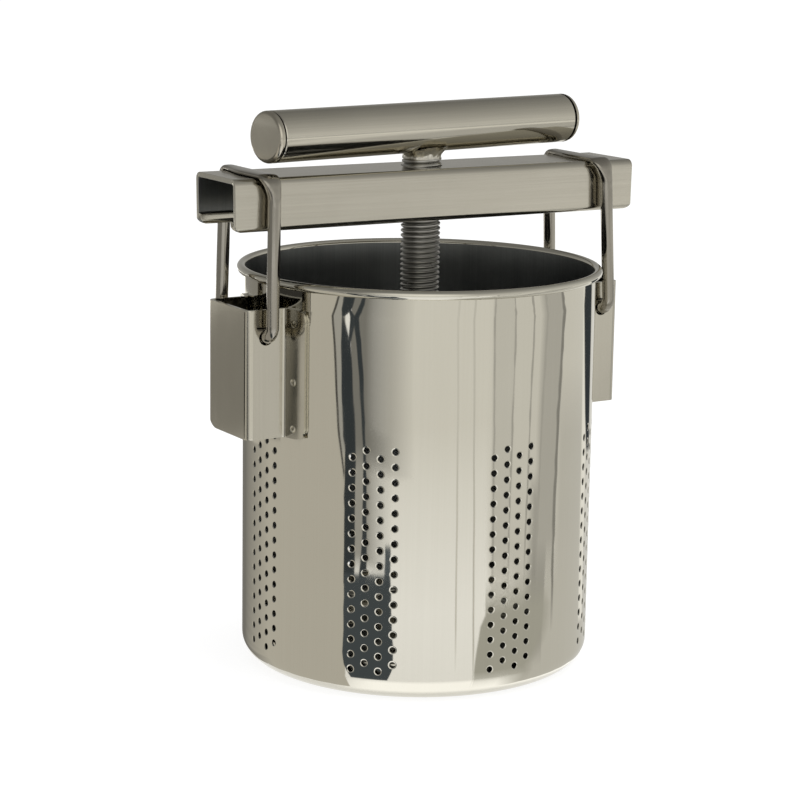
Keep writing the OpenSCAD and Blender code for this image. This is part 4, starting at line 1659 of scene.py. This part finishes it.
    def lay_rest(self) -> None:
        """Lays the dim card behind the press and the bright ring around its foot."""
        toward, aside = self.facing
        blank = SheetBlank((-self.behind_half, self.behind_half), self.behind_reach)
        cover = blank.bm.verts.layers.float.new(COVER)
        for vert in blank.bm.verts:
            vert[cover] = float(vert.co.y > self.behind_reach[1] - MERGE)
            vert.co = aside * vert.co.x - toward * vert.co.y + Vector((0.0, 0.0, self.behind_lift))
        tone = tuple(self.behind_tone * share for share in WARM)
        self.stand_in("floor_behind", blank.bm, self.glow("behind_tone", tone), True)
        bm = bmesh.new()
        turn_profile(bm, [(radius, self.ring_lift) for radius in self.ring_r], self.ring_steps)
        cover = bm.verts.layers.float.new(COVER)
        start, width = self.ring_side
        for vert in bm.verts:
            level = self.ring_r[1] - self.ring_slack < vert.co.length < self.ring_r[2] + self.ring_slack
            side = smooth_step((vert.co.dot(aside) / vert.co.length - start) / width)
            vert[cover] = float(level) * side * smooth_step(vert.co.dot(toward) / self.ring_front)
        bmesh.ops.scale(bm, vec=(MM, MM, MM), verts=bm.verts)
        self.stand_in("floor_ring", bm, self.glow("ring_tone", (self.ring_tone,) * 3), True)

    def lay_floor(self) -> None:
        """Lays the white floor, which keeps the shadow of the press."""
        made = bpy.data.materials.new("white_floor")
        made.use_nodes = True
        bench = NodeBench(made.node_tree)
        seen = bench.add("ShaderNodeLightPath")
        tone = (self.floor_tone,) * 3
        matt = bench.add("ShaderNodeBsdfDiffuse", {"Color": (*tone, 1.0)})
        lit = seen.outputs["Is Camera Ray"]
        for ray in ("Is Glossy Ray", "Is Transmission Ray"):
            lit = bench.math("MAXIMUM", lit, seen.outputs[ray])
        light = bench.add("ShaderNodeEmission", {"Strength": bench.math("MULTIPLY", lit, self.floor_glow)})
        both = bench.add("ShaderNodeAddShader", {0: matt.outputs[0], 1: light.outputs[0]})
        made.node_tree.links.new(both.outputs[0], bench.add("ShaderNodeOutputMaterial").inputs[0])
        bm = bmesh.new()
        bmesh.ops.create_grid(bm, x_segments=1, y_segments=1, size=self.floor_half)
        self.stand_in("floor", bm, made, False)

    def light_world(self) -> None:
        """Makes the room: white behind the press, and soft walls and a dimmer ceiling in its reflections."""
        world = bpy.data.worlds.new("studio_room")
        bpy.context.scene.world = world
        world.use_nodes = True
        bench = NodeBench(world.node_tree)
        seen = bench.add("ShaderNodeLightPath")
        way = bench.add("ShaderNodeTexCoord").outputs["Generated"]
        right, _, back = self.axes
        bright = (right * self.bright_way[0] + back * self.bright_way[1]).normalized()
        flash = (back + Vector((0.0, 0.0, self.flash_rise))).normalized()
        facing, toward = (bench.add("ShaderNodeVectorMath", {0: way, 1: aim}, operation="DOT_PRODUCT")
                          .outputs["Value"] for aim in (bright, flash))
        level = bench.add("ShaderNodeSeparateXYZ", {0: way}).outputs["Z"]
        share = bench.ramp(facing, *self.room_turn)
        front = bench.math("MULTIPLY", share, bench.ramp(level, *self.room_front_level, *self.room_front))
        dim = bench.ramp(level, *self.room_back_level, *self.room_back)
        rear = bench.math("MULTIPLY", bench.math("SUBTRACT", 1.0, share), dim)
        glint = bench.ramp(toward, *self.flash_cone, 0.0, self.room_flash)
        side = bench.math("ADD", bench.math("ADD", front, rear), glint)
        mirror = bench.math("MAXIMUM", seen.outputs["Is Glossy Ray"], seen.outputs["Is Transmission Ray"])
        plain = bench.math("MAXIMUM", bench.math("MULTIPLY", mirror, side),
                           bench.math("MULTIPLY", bench.math("SUBTRACT", 1.0, mirror), self.plain_light))
        strength = bench.math("MAXIMUM", seen.outputs["Is Camera Ray"], plain)
        tone = bench.blend(mirror, (1.0, 1.0, 1.0, 1.0), (*WARM, 1.0))
        sky = bench.add("ShaderNodeBackground", {"Color": tone, "Strength": strength})
        world.node_tree.links.new(sky.outputs[0], bench.add("ShaderNodeOutputWorld").inputs[0])

    def hang_lamp(self) -> None:
        """Hangs the broad soft lamp."""
        lamp = bpy.data.lights.new("soft_box", "AREA")
        lamp.shape = "DISK"
        lamp.size = self.lamp_size
        lamp.energy = self.lamp_watts
        box = bpy.data.objects.new("soft_box", lamp)
        box.matrix_world = Matrix.Translation(self.lamp_place) @ Matrix.Rotation(self.lamp_tilt, 4, "X")
        box.visible_glossy = False
        bpy.context.scene.collection.objects.link(box)

    def set_camera(self) -> None:
        """Stands the camera where the photograph was taken."""
        lens = bpy.data.cameras.new("photo_camera")
        lens.lens, lens.sensor_width = self.lens, self.sensor
        lens.clip_end = self.farthest
        camera = bpy.data.objects.new("photo_camera", lens)
        turned = Matrix(self.axes).transposed().to_4x4()
        camera.matrix_world = Matrix.Translation(Vector(self.eye) * MM) @ turned
        bpy.context.scene.collection.objects.link(camera)
        bpy.context.scene.camera = camera
        bpy.context.scene.view_settings.view_transform = "Standard"

    def build(self) -> None:
        """Sets up the whole studio."""
        self.lay_floor()
        self.lay_rest()
        self.lay_cards()
        self.light_world()
        self.hang_lamp()
        self.set_camera()


def main() -> None:
    """Builds the press piece by piece and the studio around it."""
    logging.basicConfig(level=logging.INFO, format="%(name)s: %(message)s")
    make_drawn_lines()
    make_hand_marks()
    Bucket().build()
    for side in Side:
        Bracket(side).build()
        Bail(side).build()
    Beam().build()
    PressScrew().build()
    THandle().build()
    PressPlate().build()
    dress_solids()
    Studio().build()


if __name__ == "__main__":
    main()
